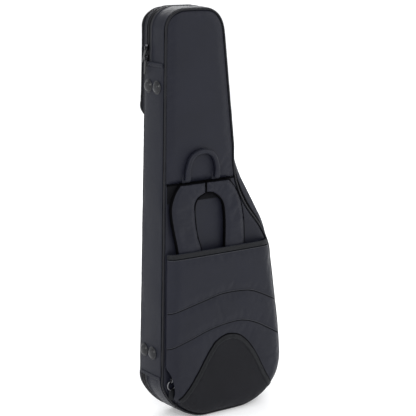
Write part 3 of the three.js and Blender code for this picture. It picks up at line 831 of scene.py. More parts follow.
# ---- Sides ---------------------------------------------------------------------------------
# The side and spine cloth take the darker side nylon, whose darker colour is painted shade.
sewn_band("side_cloth", ZIP_SIDE, (-2.0, 0.0), (GUSSET_START, GUSSET_END), 0.9, "shell",
          NYLON_SIDE_SHADED, ["main_gusset"], crown=0.9, wobble=0.5)
sewn_band("side_binding", ZIP_SIDE, (-2.0, 0.5), (BINDING_START, BINDING_END), 0.9, "shell",
          TAPE, ["gusset_binding"])
sewn_band("spine_cloth", SPINE_SIDE, (-2.0, 0.0), (GUSSET_START, SPINE_END), 0.9, "shell",
          NYLON_SIDE_SHADED, ["hinge_gusset"], crown=SPINE_BULGE, wobble=0.5)


# ---- Corded edges --------------------------------------------------------------------------
def corded_edge(name, y, body, node):
    """Cord in its cloth cover round a face."""
    ring = resample(inset(PIPING_INSET, y), 3.0, closed=True)
    path = place(ring[:, 0], y, ring[:, 1])
    rng = np.random.default_rng(11)
    uneven = 1 + 0.05 * np.convolve(rng.normal(size=len(ring) + 8), np.ones(9) / 3, "valid")
    cord = tube(name, path, CORD_RADIUS * uneven, CORD_RADIUS * uneven, sides=14, closed=True)
    finish_piece(cord, body, CORD, [node])


corded_edge("strap_side_cord", 0.0, "shell", "back_piping")
corded_edge("lid_cord", DEPTH, "lid", "lid_piping")

# ---- Strap pocket --------------------------------------------------------------------------
POCKET_EDGE = 9.0
POCKET_BACK = -2.6
ARC_UPPER = spline([(-2, 299), (42, 308), (104, 321), (168, 333), (234, 332), (267, 326), (301, 312),
                    (345, 290)], 8)
ARC_LOWER = spline([(-12, 201), (27, 213), (74, 226), (121, 240), (170, 249), (219, 252), (252, 247),
                    (286, 234), (320, 216), (366, 190)], 8)
ARCH = spline([(345, 45), (339, 53), (312, 94), (284, 145), (256, 184), (229, 208), (203, 217.5),
               (177, 217.5), (151, 206), (132, 186), (106, 149), (75, 103), (50, 76), (31, 59),
               (22, 52)], 6)


# The open lower corner of the pocket, where the left strap's ring comes out: its edge, a line clear
# of the bag at the spine's side, and the least gap that it leaves in the pocket's edge.
OUTSIDE_X = -60
CUT_GAP = 40
SLOT_EDGE = spline([(26, 56), (25, 78), (23, 92), (19, 112), (12, 136), (3, 154), (-6, 166)], 5)


def pocket_outline():
    """The pocket's edge on the panel, with its lower corner at the spine cut away."""
    ring = clip(inset(POCKET_EDGE, 0), high=POCKET_TOP)
    corner_cut = np.vstack([[(OUTSIDE_X, 56)], SLOT_EDGE, [(OUTSIDE_X, 174)]])
    kept = ring[~inside(ring, corner_cut)]
    start = int(np.argmax(np.linalg.norm(kept - np.roll(kept, 1, axis=0), axis=1) > CUT_GAP))
    kept = np.roll(kept, -start, axis=0)
    jumps = np.linalg.norm(np.roll(kept, -1, axis=0) - kept, axis=1)
    out = []
    for point, jump, after in zip(kept, jumps, np.roll(kept, -1, axis=0)):
        out.append(point)
        if jump > CUT_GAP and max(point[1], after[1]) < 300:
            edge = SLOT_EDGE[(edge_distance(SLOT_EDGE, ring) > 1.0) & inside(SLOT_EDGE, ring)]
            if np.linalg.norm(edge[0] - point) > np.linalg.norm(edge[-1] - point):
                edge = edge[::-1]
            out += list(edge)
    return np.array(out)


POCKET_RING = clip(inset(POCKET_EDGE, 0), high=POCKET_TOP + 60)


def pocket_front(xz, _distance):
    """The pocket's crowned face before its cloth is blown out."""
    inward = edge_distance(xz, POCKET_RING)
    body = roll(inward, 27, 21.0, 2.1)
    body += 2.2 * np.sin(np.clip(inward / 110, 0, 1) * math.pi / 2)
    sewn = groove(edge_distance(xz, ARC_UPPER, closed=False), 3.2, 1.7)
    sewn += groove(edge_distance(xz, ARC_LOWER, closed=False), 3.2, 1.7)
    sewn += groove(edge_distance(xz, ARCH, closed=False), 5, 1.2)
    sewn *= np.clip(inward / 20, 0, 1)
    mouth = 1.6 * np.exp(-((POCKET_TOP - xz[:, 1]) / 16) ** 2)
    return POCKET_BACK - body + sewn + mouth + ripple(xz, 150, 0.5, 5)


pocket = panel_piece(
    "pocket_cloth", pocket_outline(), "shell", NYLON, pocket_front, 2.2, ["strap_pocket"], step=6.0,
    channels=[(ARC_UPPER, 1.2), (ARC_LOWER, 1.2), (ARCH, 1.5),
              (np.array([(-20.0, POCKET_TOP - 8), (380.0, POCKET_TOP - 8)]), 5.0)],
    curves=[ARC_UPPER, ARC_LOWER], blow={"pressure": 2.2, "slack": 0.003, "cap": 1.6})


MISSED_Y = -10.0


class Surface:
    """A finished face, read by rays along Y, so that tape and patches lie on it.

    Beyond the face's edge a place takes the depth MISSED_Y."""

    def __init__(self, obj, towards=-1):
        bm = bmesh.new()
        bm.from_mesh(obj.data)
        self.tree = BVHTree.FromBMesh(bm)
        bm.free()
        self.towards = towards

    def lie(self, xz, proud):
        """Points in metres that lie a little proud of the face at places in the drawing."""
        out = []
        for x, z in xz:
            start = Vector(place(x, 0.0, z))
            start.y = self.towards
            hit, normal, _, _ = self.tree.ray_cast(start, Vector((0, -self.towards, 0)))
            if hit is None:
                hit = Vector(place(x, MISSED_Y, z))
                normal = Vector((0, self.towards, 0))
            if normal.y * self.towards < 0:
                normal = -normal
            out.append(hit + normal * proud * MM)
        return np.array(out)


def strip(name, rows, thickness, body, material, replaces=(), towards=OUT_FRONT):
    """Tape through rows of points, each row across it; closed, with a back a little behind."""
    rows = np.asarray(rows, float)
    n, m = rows.shape[:2]
    normal = unit(np.cross(np.gradient(rows, axis=0), np.gradient(rows, axis=1)))
    normal *= np.sign((normal * np.asarray(towards, float)).sum(axis=2, keepdims=True) + 1e-9)
    edge = np.ones(m)
    edge[0] = edge[-1] = 0.45
    front = rows + normal * (thickness * edge * MM / 2)[None, :, None]
    back = rows - normal * (thickness * edge * MM / 2)[None, :, None]
    loop = np.concatenate([front, back[:, ::-1]], axis=1)
    faces = skin_grid(loop, False, True)
    for end in (0, n - 1):
        base = end * 2 * m
        faces += [(base + j, base + j + 1, base + 2 * m - 2 - j, base + 2 * m - 1 - j)
                  for j in range(m - 1)]
    width = np.linspace(0, 0.05, 2 * m)
    uv = np.stack(np.broadcast_arrays(lengths_along(rows[:, 0])[:, None], width[None, :]), axis=-1)
    obj = fix_normals(new_object(name, loop.reshape(-1, 3), faces, uv.reshape(-1, 2)))
    return finish_piece(obj, body, material, replaces)


def rows_beside(line, offsets):
    """Places beside a line in the drawing, in rows across it."""
    normal = normals_of(line, closed=False)
    return np.array([[p + n * o for o in offsets] for p, n in zip(line, normal)])


FACE_SURFACE = Surface(pocket)


def on_pocket(grid, proud):
    flat = np.asarray(grid).reshape(-1, 2)
    return FACE_SURFACE.lie(flat, proud).reshape(*np.asarray(grid).shape[:2], 3)


# Tape bound over the pocket's mouth, following it down to the panel at both sides.
mouth_ring = clip(inset(POCKET_EDGE, 0), high=POCKET_TOP)
mouth_x = mouth_ring[np.abs(mouth_ring[:, 1] - POCKET_TOP) < 6][:, 0]
hem_x = np.linspace(mouth_x.min() + 0.8, mouth_x.max() - 0.8, 150)
hem_grid = np.array([[(x, POCKET_TOP - h) for h in (0.4, 1.2, 4, 7, 10, 11.2, 12)] for x in hem_x])
strip("pocket_mouth_tape", on_pocket(hem_grid, 0.9), 1.7, "shell", TAPE, ["pocket_hem"])

# The worn patch at the foot, with its own bound border.
arch_line = resample(ARCH, 5.0)


def arch_patch_outline():
    """The worn patch inside its border, down to the pocket's bottom edge."""
    inner = arch_line + normals_of(arch_line, closed=False) * KICK_SIDE * 11.0
    inner = inner[inner[:, 1] > 30]
    bottom = inset(POCKET_EDGE + 1.2, 0)
    bottom = bottom[bottom[:, 1] < 60]
    bottom = bottom[np.argsort(bottom[:, 0])]
    left, right = sorted((inner[0], inner[-1]), key=lambda p: p[0])
    bottom = bottom[(bottom[:, 0] > left[0] + 2) & (bottom[:, 0] < right[0] - 2)]
    if inner[0][0] < inner[-1][0]:
        inner = inner[::-1]
    return np.vstack([inner, bottom])


# Which side of the arch its inside lies on, for offsets to either side.
middle_normal = normals_of(arch_line, closed=False)[len(arch_line) // 2]
KICK_SIDE = -1.0 if middle_normal[1] > 0 else 1.0
kick_outline = resample(arch_patch_outline(), 5.0, closed=True)
kick_xz, kick_faces, kick_rim = fill(kick_outline, 6.0, (1.5, 4.0))
kick_face = FACE_SURFACE.lie(kick_xz, 0.9)
kick = shell_body("worn_patch", kick_xz, kick_faces, kick_rim, kick_face, 1.0)
finish_piece(kick, "shell", COARSE, ["kick_panel"])

border_line = arch_line[(edge_distance(arch_line, POCKET_RING) > 5) & inside(arch_line, POCKET_RING)]
border_rows = on_pocket(rows_beside(border_line, [KICK_SIDE * o for o in
                                                  (12.0, 11.0, 9, 6, 3, 1.0, 0.0)]), 1.2)
strip("worn_patch_border", border_rows, 1.7, "shell", TAPE_UP, ["kick_border"])
bead_rows = on_pocket(rows_beside(border_line, [-KICK_SIDE * 1.4]), 0.7)[:, 0]
finish_piece(tube("worn_patch_bead", bead_rows, 1.5, 1.0, sides=10), "shell", SEAM_SHADE)


def seam_fold(name, line, shade_beside, light_beside):
    """A sewn fold on the pocket: a near-black line of painted shade in the fold and a fine lighter line of
    painted highlight along it.
    """
    # The shade strip is painted shade and the lip strip is painted highlight.
    for part, beside, width, material in (("shade", shade_beside, 1.0, SEAM_SHADE),
                                          ("lip", light_beside, 0.9, FOLD_HIGHLIGHT)):
        path = on_pocket(rows_beside(line, [beside]), 0.45)[:, 0]
        piece = tube(f"{name}_{part}", path, width, 0.7, sides=8)
        finish_piece(piece, "shell", material)


for fold_name, arc in (("upper_fold", ARC_UPPER), ("lower_fold", ARC_LOWER)):
    on_face = resample(arc, 2.0)
    on_face = on_face[(edge_distance(on_face, POCKET_RING) > 0.8) & inside(on_face, POCKET_RING)]
    low_side = 1.0 if normals_of(on_face, closed=False)[len(on_face) // 2][1] < 0 else -1.0
    seam_fold(fold_name, resample(on_face, 3.0), 0.8 * low_side, -1.5 * low_side)
hem_line = np.stack([hem_x, np.full(len(hem_x), POCKET_TOP - 13.2)], axis=1)
hem_low_side = 1.0 if normals_of(hem_line, closed=False)[0][1] < 0 else -1.0
seam_fold("hem_fold", hem_line, 0.0, 2.4 * hem_low_side)

# ---- Shoulder straps -----------------------------------------------------------------------
STRAP_TOP = SEAM_Z - 1.5
LEFT_PAD = np.vstack([
    spline([(40, STRAP_TOP), (24, 610), (14, 582), (13.5, 558), (20, 521), (28, 488), (36, 450),
            (46, 380), (56, 302)], 8),
    spline([(107, 302), (110, 400), (107, 455), (100, 478), (93, 502), (88.5, 529), (85.5, 556),
            (87, 577), (96, 592), (117.5, 604)], 8),
    [(117.5, STRAP_TOP)]])
RIGHT_PAD = np.vstack([
    spline([(121.5, 605), (143, 601), (163, 588), (175, 571), (180, 545), (182, 515), (182, 470),
            (179, 380), (174, 302)], 8),
    spline([(228, 302), (240, 380), (244, 455), (242.5, 508), (239, 537), (232, 567), (218, 600),
            (203, 620), (191, STRAP_TOP)], 8),
    [(121.5, STRAP_TOP)]])
PAD_FRONT, PAD_BACK = -17.6, -3.9


def pad_body(name, outline, node, seed):
    """A foam pad in its cloth: rolled edges, a sewn line inside them, and a crowned middle."""
    outline = resample(outline, 3.5, closed=True)
    xz, faces, rim = fill(outline, 5.5, (0.5, 1.3, 2.5, 4.2, 6.5, 9.0))
    distance = edge_distance(xz, outline)
    middle = (PAD_FRONT + PAD_BACK) / 2
    half = (PAD_BACK - PAD_FRONT) / 2
    rise = roll(distance, 9.5, half - 1.6, 2.2) + 1.0
    front_y = middle - rise - 0.7 * np.sin(np.clip(distance / 32, 0, 1) * math.pi / 2) \
        + groove(distance - 7.2, 1.5, 0.9) + ripple(xz, 70, 0.4, seed)
    back_y = middle + roll(distance, 7, half - 1.6, 2.4) + 1.0
    front = place(xz[:, 0], front_y, xz[:, 1])
    faces = faced(front, faces, np.array([0, -1, 0]))
    sewn = np.flatnonzero((distance < 1.0) | (np.abs(distance - 7.2) < 1.2))
    front = inflate(front, faces, sewn, pressure=2.4, slack=0.015, cap=1.5, frames=14)
    back = place(xz[:, 0], back_y, xz[:, 1])
    obj = closed_body(name, front, back, faces, rim, xz, 400)
    finish_piece(obj, "shell", NYLON, [node])
    # The binding round the pad's edge is near-black painted shade along the pads' sides.
    edge_path = place(outline[:, 0], middle, outline[:, 1])
    binding = tube(name + "_binding", edge_path, 1.9, 5.0, sides=12, closed=True, power=2.6)
    finish_piece(binding, "shell", SEAM_SHADE)


pad_body("strap_pad_left_cloth", LEFT_PAD, "strap_pad_left", 21)
pad_body("strap_pad_right_cloth", RIGHT_PAD, "strap_pad_right", 22)

# The mesh patch between the strap roots is darkened: its own dark colour plus painted shade in the gap
# between the pads.
patch_outline = np.array([(8, 585), (207, 585), (207, SEAM_Z - 1.4), (8, SEAM_Z - 1.4)], float)
patch_xz, patch_faces, patch_rim = fill(resample(patch_outline, 5.0, closed=True), 8.0, (1.5,))
patch_y = -3.2 + ripple(patch_xz, 60, 0.15, 9)
patch = shell_body("root_mesh_patch", patch_xz, patch_faces, patch_rim,
                   place(patch_xz[:, 0], patch_y, patch_xz[:, 1]), 0.9)
finish_piece(patch, "shell", MESH_CLOTH_SHADED, ["root_patch"])
# A near-black tape of painted shade along the seam at the strap roots.
seam_x = np.linspace(6.5, 219, 60)
seam_rows = np.array([[place(x, y, SEAM_Z + h) for h, y in ((-1.9, -3.3), (-1, -3.7), (0, -3.9), (1, -3.7),
                                                            (1.9, -3.3))] for x in seam_x])
strip("strap_root_tape", seam_rows, 1.0, "shell", SEAM_SHADE)
joint_rows = np.array([[place(119.5 + w, -7.5 - 0.2 * abs(w), z) for w in (-1.6, -0.8, 0, 0.8, 1.6)]
                       for z in np.linspace(604, 630.5, 10)])
strip("strap_joint_tape", joint_rows, 1.0, "shell", TAPE_UP)


# ---- Strap hardware ------------------------------------------------------------------------
WEB_HALF = 9.5


def moved(obj, at):
    obj.matrix_basis = Matrix.Translation(Vector(at))
    return obj


def ring_path(radius, count, gap=0.0):
    """A circle in metres, with a gap in radians to either side of its start."""
    angle = np.linspace(gap, 2 * math.pi - gap, count, endpoint=gap > 0)
    return np.stack([radius * np.cos(angle), np.zeros(count), radius * np.sin(angle)], axis=1) * MM


def strap_hardware(side, pad_x, ring_x):
    """Below each pad: ladder buckle, webbing tail, snap hook, D-ring and its sewn tab."""
    y = -8.6
    ring_z, eye_z = 106.0, 118.0
    lean = 0.42 if pad_x > ring_x else -0.42
    tail_x = ring_x + math.sin(lean) * 32
    tail_z = eye_z + math.cos(lean) * 32 + 7

    bars = [moved(box_shape("bar", (46, 5.4, 4.6), 1.4), place(pad_x, y, z)) for z in (274.6, 285.5, 296.4)]
    bars += [moved(box_shape("end", (4.6, 5.4, 26.6), 1.4), place(pad_x + x, y, 285.5))
             for x in (-20.6, 20.6)]
    finish_piece(sharp_edges(joined(f"buckle_{side}_frame", bars)), "shell", PLASTIC,
                 [f"buckle_{side}"])

    t = np.linspace(0, 1, 26)
    line = np.stack([pad_x + (tail_x - pad_x) * t, 271.6 + (tail_z - 271.6) * t], axis=1)
    sway = 1.2 * np.sin(t * math.pi * 2) * np.sin(t * math.pi)
    run = (line[-1] - line[0]) / np.linalg.norm(line[-1] - line[0])
    rows = np.array([[place(p[0] - run[1] * w, y + s, p[1] + run[0] * w)
                      for w in np.linspace(-WEB_HALF, WEB_HALF, 9)] for p, s in zip(line, sway)])
    web = strip(f"webbing_{side}_tail", rows, 1.6, "shell", TAPE_UP, [f"webbing_{side}"])

    centre = place(ring_x, y, eye_z)
    claw = tube("claw", ring_path(4.6, 28, 0.35)[:, [1, 0, 2]], 1.3, 1.3, up=(1, 0, 0), sides=10)
    shank = lathe("shank", [(1.9, 4.6), (2.4, 5.5), (2.4, 14), (3.3, 15), (3.3, 21), (2.2, 22),
                            (2.2, 27.5)], 20)
    bar = box_shape("bar", (26, 4.6, 4.6), 1.6)
    moved(bar, (0, 0, 29.4 * MM))
    hook = joined(f"hook_{side}_snap", [claw, shank, bar])
    hook.data.transform(Matrix.Translation(Vector(centre)) @ Matrix.Rotation(lean, 4, "Y"))
    finish_piece(fix_normals(hook), "shell", NICKEL, [f"hook_{side}"])

    loop = tube(f"dring_{side}_wire", ring_path(12.0, 44)[:, [0, 2, 1]], 1.7, 1.7, up=(0, 0, 1),
                sides=12, closed=True)
    loop.data.transform(Matrix.Translation(Vector(place(ring_x, y, ring_z)))
                        @ Matrix.Rotation(math.pi / 2, 4, "X"))
    finish_piece(fix_normals(loop), "shell", NICKEL, [f"dring_{side}"])

    tab_rows = np.array([[place(ring_x + w, y + 0.3 * math.cos(w / 8), z)
                          for w in np.linspace(-7.6, 7.6, 7)] for z in np.linspace(66, 93.5, 10)])
    strip(f"dring_tab_{side}_fold", tab_rows, 3.4, "shell", TAPE_UP, [f"dring_tab_{side}"])


strap_hardware("left", 84.0, 20.0)
strap_hardware("right", 202.0, 338.0)

# ---- Grab handle and side handle -----------------------------------------------------------
HANDLE_X, HANDLE_PIVOT_Z, HANDLE_Y = 110.0, 642.0, -12.4


HANDLE_HALF = 46.0
right_leg = [(HANDLE_HALF * 0.42, 66.5), (HANDLE_HALF * 0.77, 54), (HANDLE_HALF - 0.6, 26),
             (HANDLE_HALF, 10), (HANDLE_HALF, -1)]
handle_line = spline([(-x, z) for x, z in right_leg[::-1]] + [(0, 70.2)] + right_leg, 14)
along_handle = np.linspace(-1, 1, len(handle_line))
leg = np.clip((np.abs(along_handle) - 0.45) / 0.55, 0, 1)
wide = 6.3 + 2.6 * leg ** 1.3
thick = 6.6 - 2.6 * leg ** 1.4
handle_path = place(HANDLE_X + handle_line[:, 0], HANDLE_Y, HANDLE_PIVOT_Z + handle_line[:, 1])
grip = tube("grab_handle_grip", handle_path, wide, thick, sides=24, power=2.5)
finish_piece(grip, "grab_handle", NYLON, ["grab_handle"])
handle_normal = normals_of(handle_line, closed=False)
grip_stitches = []
for offset in (-1, 1):
    line = handle_line + handle_normal * (offset * (wide - 3.4))[:, None]
    lifted = HANDLE_Y - thick * 0.93
    grip_stitches.append((place(HANDLE_X + line[:, 0], lifted, HANDLE_PIVOT_Z + line[:, 1]), OUT_FRONT))
thread("grab_handle_stitching", grip_stitches, "grab_handle")

for side_name, at in (("left", HANDLE_X - HANDLE_HALF), ("right", HANDLE_X + HANDLE_HALF)):
    tab_rows = np.array([[place(at + w * (12.5 - 2.5 * t), -4.2 - 1.6 * math.cos(w * 1.3) * (1 - t),
                                634.6 + 24 * t) for w in np.linspace(-1, 1, 11)]
                         for t in np.linspace(0, 1, 12)])
    strip(f"handle_tab_{side_name}_cloth", tab_rows, 1.6, "shell", NYLON,
          [f"handle_tab_{side_name}"])

NECK_LEAN = math.atan2(NECK_LOW[0] - NECK_HIGH[0], NECK_HIGH[1] - NECK_LOW[1])
SIDE_HANDLE = {"z": 810.0, "half": 62.0, "bow": 7.0, "pivot": 7.0, "y": 39.0}
ANCHOR_NEAR, ANCHOR_FAR = 67.0, 99.5


def neck_x(z):
    return float(np.interp(z, [NECK_LOW[1], NECK_HIGH[1]], [NECK_LOW[0], NECK_HIGH[0]]))


def neck_place(out, y, along):
    """A place beside the neck's right edge: out from it, at a depth, along its lean."""
    c, s = math.cos(NECK_LEAN), math.sin(NECK_LEAN)
    x = neck_x(SIDE_HANDLE["z"]) + out * c - along * s
    return place_level(x, y, SIDE_HANDLE["z"] + out * s + along * c)


t_side = np.linspace(-1, 1, 60)
side_path = np.array([neck_place(SIDE_HANDLE["pivot"] + SIDE_HANDLE["bow"] * (1 - t ** 4),
                                 SIDE_HANDLE["y"], SIDE_HANDLE["half"] * t) for t in t_side])
outwards = np.array([math.cos(NECK_LEAN), 0, math.sin(NECK_LEAN)])
side_wide = 6.3 + 3.4 * np.clip((0.7 - np.abs(t_side)) / 0.4, 0, 1)
side_thick = 4.4 + 1.4 * np.clip((0.7 - np.abs(t_side)) / 0.4, 0, 1)
side_grip = tube("side_handle_grip", side_path, side_wide, side_thick, up=outwards, sides=20, power=2.6)
finish_piece(side_grip, "side_handle", NYLON, ["side_handle"])
for end_name, low_end, high_end in (("upper", ANCHOR_NEAR, ANCHOR_FAR),
                                    ("lower", -ANCHOR_FAR, -ANCHOR_NEAR)):
    rows = np.array([[neck_place(2.8 + 1.4 * math.sin(math.pi * (s - low_end) / (high_end - low_end)),
                                 SIDE_HANDLE["y"] + w, s) for w in np.linspace(-12.6, 12.6, 11)]
                     for s in np.linspace(low_end, high_end, 12)])
    strip(f"side_anchor_{end_name}_patch", rows, 2.6, "shell", TAPE_UP,
          [f"side_anchor_{end_name}"], towards=outwards)

# ---- Feet ----------------------------------------------------------------------------------
SPINE_TILT = math.atan2(SPINE_HIGH[0] - SPINE_LOW[0], SPINE_HIGH[1] - SPINE_LOW[1])
FOOT_PROFILE = [(0.01, 0), (16.2, 0), (16.9, 0.6), (17.0, 1.8), (16.6, 2.8), (15.4, 3.4), (14.6, 3.3),
                (14.0, 3.0), (13.5, 3.6), (12.9, 4.9), (11.8, 6.4), (10.2, 7.8), (8.2, 8.9), (5.8, 9.6),
                (3.0, 9.95), (0.01, 10.0)]
for level, z, depths in (("upper", 878.0, (29.0, 66.5)), ("lower", 186.0, (39.0, 77.0))):
    for i, y in enumerate(depths, 1):
        foot = lathe(f"foot_{level}_{i}_dome", FOOT_PROFILE, 64)
        centre = place_level(spine_x(z) - 0.3, y, z)
        turn = Matrix.Rotation(SPINE_TILT, 4, "Y") @ Matrix.Rotation(-math.pi / 2, 4, "Y")
        foot.data.transform(Matrix.Translation(Vector(centre)) @ turn)
        finish_piece(sharp_edges(foot, 50), "shell", RUBBER, [f"foot_{level}_{i}"])

# ---- Zips ----------------------------------------------------------------------------------
sewn_band("zip_tape_base_cloth", ZIP_SIDE, (-2.0, -0.5), (76.3, 84.5), 0.6, "shell",
          ZIP_CLOTH, ["zip_tape_base"])
sewn_band("zip_tape_lid_cloth", ZIP_SIDE, (-2.0, -0.5), (86.5, 92.7), 0.6, "lid",
          ZIP_CLOTH, ["zip_tape_lid"])
sewn_band("lid_rim_cloth", ZIP_SIDE, (-2.0, 0.0), (LID_Y + 0.1, 97.4), 0.9, "lid",
          NYLON_SIDE_SHADED, ["lid_rim"], crown=0.2)
bead_line = resample(OUTLINE[:ZIP_END + 1] + normals_of(OUTLINE)[:ZIP_END + 1] * 0.2, 3.0)
for bead_name, bead_y, bead_radius, bead_body in (("binding_bead", GUSSET_END + 0.1, 1.1, "shell"),
                                                  ("lid_rim_bead", LID_Y, 1.0, "lid")):
    bead_path = place(bead_line[:, 0], bead_y, bead_line[:, 1])
    finish_piece(tube(bead_name, bead_path, bead_radius, bead_radius, sides=10), bead_body, BEAD)

TOOTH_PITCH = 2.5
TOOTH_LENGTH = 2.6
TOOTH_HEIGHT = 1.5


def coil_row(name, path, across, body):
    """Coil teeth along a path in metres: rounded blocks that reach across the zip's line."""
    path = resample(path, TOOTH_PITCH * MM)
    tangent = np.gradient(path, axis=0)
    tangent /= np.linalg.norm(tangent, axis=1, keepdims=True)
    across = np.broadcast_to(np.asarray(across, float), path.shape)
    out = np.cross(tangent, across)
    out /= np.linalg.norm(out, axis=1, keepdims=True)
    verts, faces = [], []
    shape = [(-0.85, -0.5, -0.5), (0.85, -0.5, -0.5), (0.85, 0.5, -0.5), (-0.85, 0.5, -0.5),
             (-0.55, -0.42, 0.5), (0.55, -0.42, 0.5), (0.55, 0.3, 0.5), (-0.55, 0.3, 0.5)]
    quads = [(3, 2, 1, 0), (4, 5, 6, 7), (0, 1, 5, 4), (1, 2, 6, 5), (2, 3, 7, 6), (3, 0, 4, 7)]
    for i, (p, t, a, o) in enumerate(zip(path, tangent, across, out)):
        for u, v, w in shape:
            verts.append(p + t * u * MM + a * v * TOOTH_LENGTH * MM + o * w * TOOTH_HEIGHT * MM)
        faces += [tuple(8 * i + k for k in quad) for quad in quads]
    obj = fix_normals(new_object(name, verts, faces, smooth=False))
    finish_piece(obj, body, COIL)


teeth_ring = OUTLINE[:ZIP_END + 1] - normals_of(OUTLINE)[:ZIP_END + 1] * 0.6
for coil_name, coil_y, coil_body, reach in (("base_coil", 84.1, "shell", 1.0),
                                            ("lid_coil", 86.9, "lid", -1.0)):
    coil_path = place(teeth_ring[:, 0], coil_y, teeth_ring[:, 1])
    coil_row(coil_name, coil_path, (0, reach, 0), coil_body)


# ---- Zip sliders and pulls -----------------------------------------------------------------
EASED_EDGE = 0.35


def soften_cad(names, material):
    """Hard CAD parts keep their shape; their edges are eased and they take a material."""
    for name in names:
        node = NODES[name]
        for slot_index in range(max(1, len(node.material_slots))):
            if node.material_slots:
                node.material_slots[slot_index].material = material
            else:
                node.data.materials.append(material)
        bevel = node.modifiers.new("eased_edges", "BEVEL")
        bevel.width = EASED_EDGE * MM
        bevel.segments = 2
        bevel.limit_method = "ANGLE"
        bevel.angle_limit = math.radians(35)
        bevel.harden_normals = False


soften_cad(["main_upper_slider", "main_lower_slider", "front_slider", "headstock_slider"], SLIDER_METAL)
soften_cad(["main_upper_pull", "main_lower_pull", "front_pull", "headstock_pull"], PULL_METAL)

tab_y = float(depth_at(76.0, ZIP_END_Z)) + 1
tab_rows = np.array([[place_level(spine_x(z) - 1.3, y, z) for y in np.linspace(tab_y, tab_y + 16, 7)]
                     for z in np.linspace(ZIP_END_Z - 12, ZIP_END_Z - 1, 8)])
strip("zip_end_stop", tab_rows, 1.3, "shell", TAPE, ["zip_end_tab"], towards=OUT_SPINE)

# ---- Lid -----------------------------------------------------------------------------------
def lid_back(xz, distance):
    return DEPTH - 0.6 + roll(distance, 14, 3.4) + ripple(xz, 190, 0.35, 13)


panel_piece("lid_panel_cloth", inset(FACE_INSET), "lid", NYLON_LID, lid_back, 1.6, ["lid_panel"],
            step=9.0, towards=1, blow={"pressure": 1.6, "slack": 0.004, "cap": 1.4})


def lid_pocket(name, outline, thick, edge, seed, node, channels=()):
    """A padded pocket on the lid: full walls, a rolled front edge and a crowned face."""
    def back(xz, distance):
        face = DEPTH + 2.4 + roll(distance, edge, thick * 0.86, 2.6) + 1.8 * np.sin(
            np.clip(distance / 70, 0, 1) * math.pi / 2)
        for line in channels:
            face = face - groove(edge_distance(xz, line, closed=False), 4, 1.2)
        return face + ripple(xz, 130, 0.5, seed)

    panel_piece(name, outline, "lid", NYLON_LID, back, 2.0, [node], towards=1,
                channels=[(line, 1.0) for line in channels], curves=channels,
                blow={"pressure": 2.4, "slack": 0.010, "cap": 2.2})


def corner(centre_x, centre_z, start, radius):
    angle = np.radians(np.linspace(start, start + 90, 12))
    return np.stack([centre_x + radius * np.cos(angle), centre_z + radius * np.sin(angle)], axis=1)


def opened_at_gap(points):
    """Points of a closed curve that has lost a stretch, starting after the gap."""
    start = int(np.argmax(np.linalg.norm(points - np.roll(points, 1, axis=0), axis=1)))
    return np.roll(points, -start, axis=0)


def headstock_outline():
    low, radius = 792.0, 30.0
    around = inset(6.0)
    around = opened_at_gap(around[around[:, 1] > low + 2 * radius])
    left, right = float(spine_x(low)) + 6, neck_x(low + radius) - 6
    return np.vstack([around, corner(left + radius, low + radius, 180, radius),
                      corner(right - radius, low + radius, 270, radius)])


def front_outline():
    top, radius = 420.0, 34.0
    around = inset(30.0)
    around = opened_at_gap(around[around[:, 1] < top - radius - 8])
    left, right = float(spine_x(top)) + 30, 308.0
    return np.vstack([around, corner(right - radius, top - radius, 0, radius),
                      corner(left + radius, top - radius, 90, radius)])


HEAD_RING = headstock_outline()
FRONT_RING = front_outline()
lid_pocket("headstock_pocket_cloth", HEAD_RING, 44.0, 8.0, 31, "headstock_pocket")
FRONT_ZIP_Z = 377.0
lid_pocket("front_pocket_cloth", FRONT_RING, 17.0, 15.0, 32, "front_pocket",
           [np.array([(x, FRONT_ZIP_Z) for x in np.linspace(50, 280, 60)])])


for cord_name, ring, inwards in (("headstock_pocket_cord", HEAD_RING, 0.4),
                                 ("front_pocket_cord", FRONT_RING, 0.2)):
    ring = resample(ring - normals_of(ring) * inwards, 3.0, closed=True)
    cord = tube(cord_name, place(ring[:, 0], DEPTH + 3.4, ring[:, 1]), 1.7, 1.7, closed=True)
    finish_piece(cord, "lid", CORD)

# The headstock pocket's zip runs round its wall; the front pocket's lies across its face.
zip_ring = HEAD_RING + normals_of(HEAD_RING) * 0.7
right_low, left_low = nearest(zip_ring, 198, 838), nearest(zip_ring, 40, 792)
zip_line = zip_ring[np.arange(right_low, left_low + (len(zip_ring) if left_low < right_low else 0))
                    % len(zip_ring)]
head_rows = np.array([[place(x, y, z) for y in np.linspace(DEPTH + 20, DEPTH + 26, 7)]
                      for x, z in zip_line])
zip_normal = normals_of(zip_line, closed=False)
zip_outward = in_space(zip_normal)
strip("headstock_zip_tape", head_rows, 1.1, "lid", ZIP_CLOTH, ["headstock_zip"],
      towards=zip_outward[:, None, :])
head_teeth = place(zip_line[:, 0] + zip_normal[:, 0] * 0.4, DEPTH + 23,
                   zip_line[:, 1] + zip_normal[:, 1] * 0.4)
coil_row("headstock_coil", head_teeth, (0, 1, 0), "lid")

front_y = DEPTH + 2.3 + 18 + 0.95
front_x = np.linspace(60.5, 269.5, 80)
front_rows = np.array([[place(x, front_y, z) for z in np.linspace(372.2, 381.8, 7)] for x in front_x])
strip("front_zip_tape", front_rows, 1.3, "lid", ZIP_CLOTH, ["front_zip"], towards=OUT_BACK)
front_teeth = place(front_x, front_y + 0.9, FRONT_ZIP_Z)
coil_row("front_coil", front_teeth, (0, 0, 1), "lid")

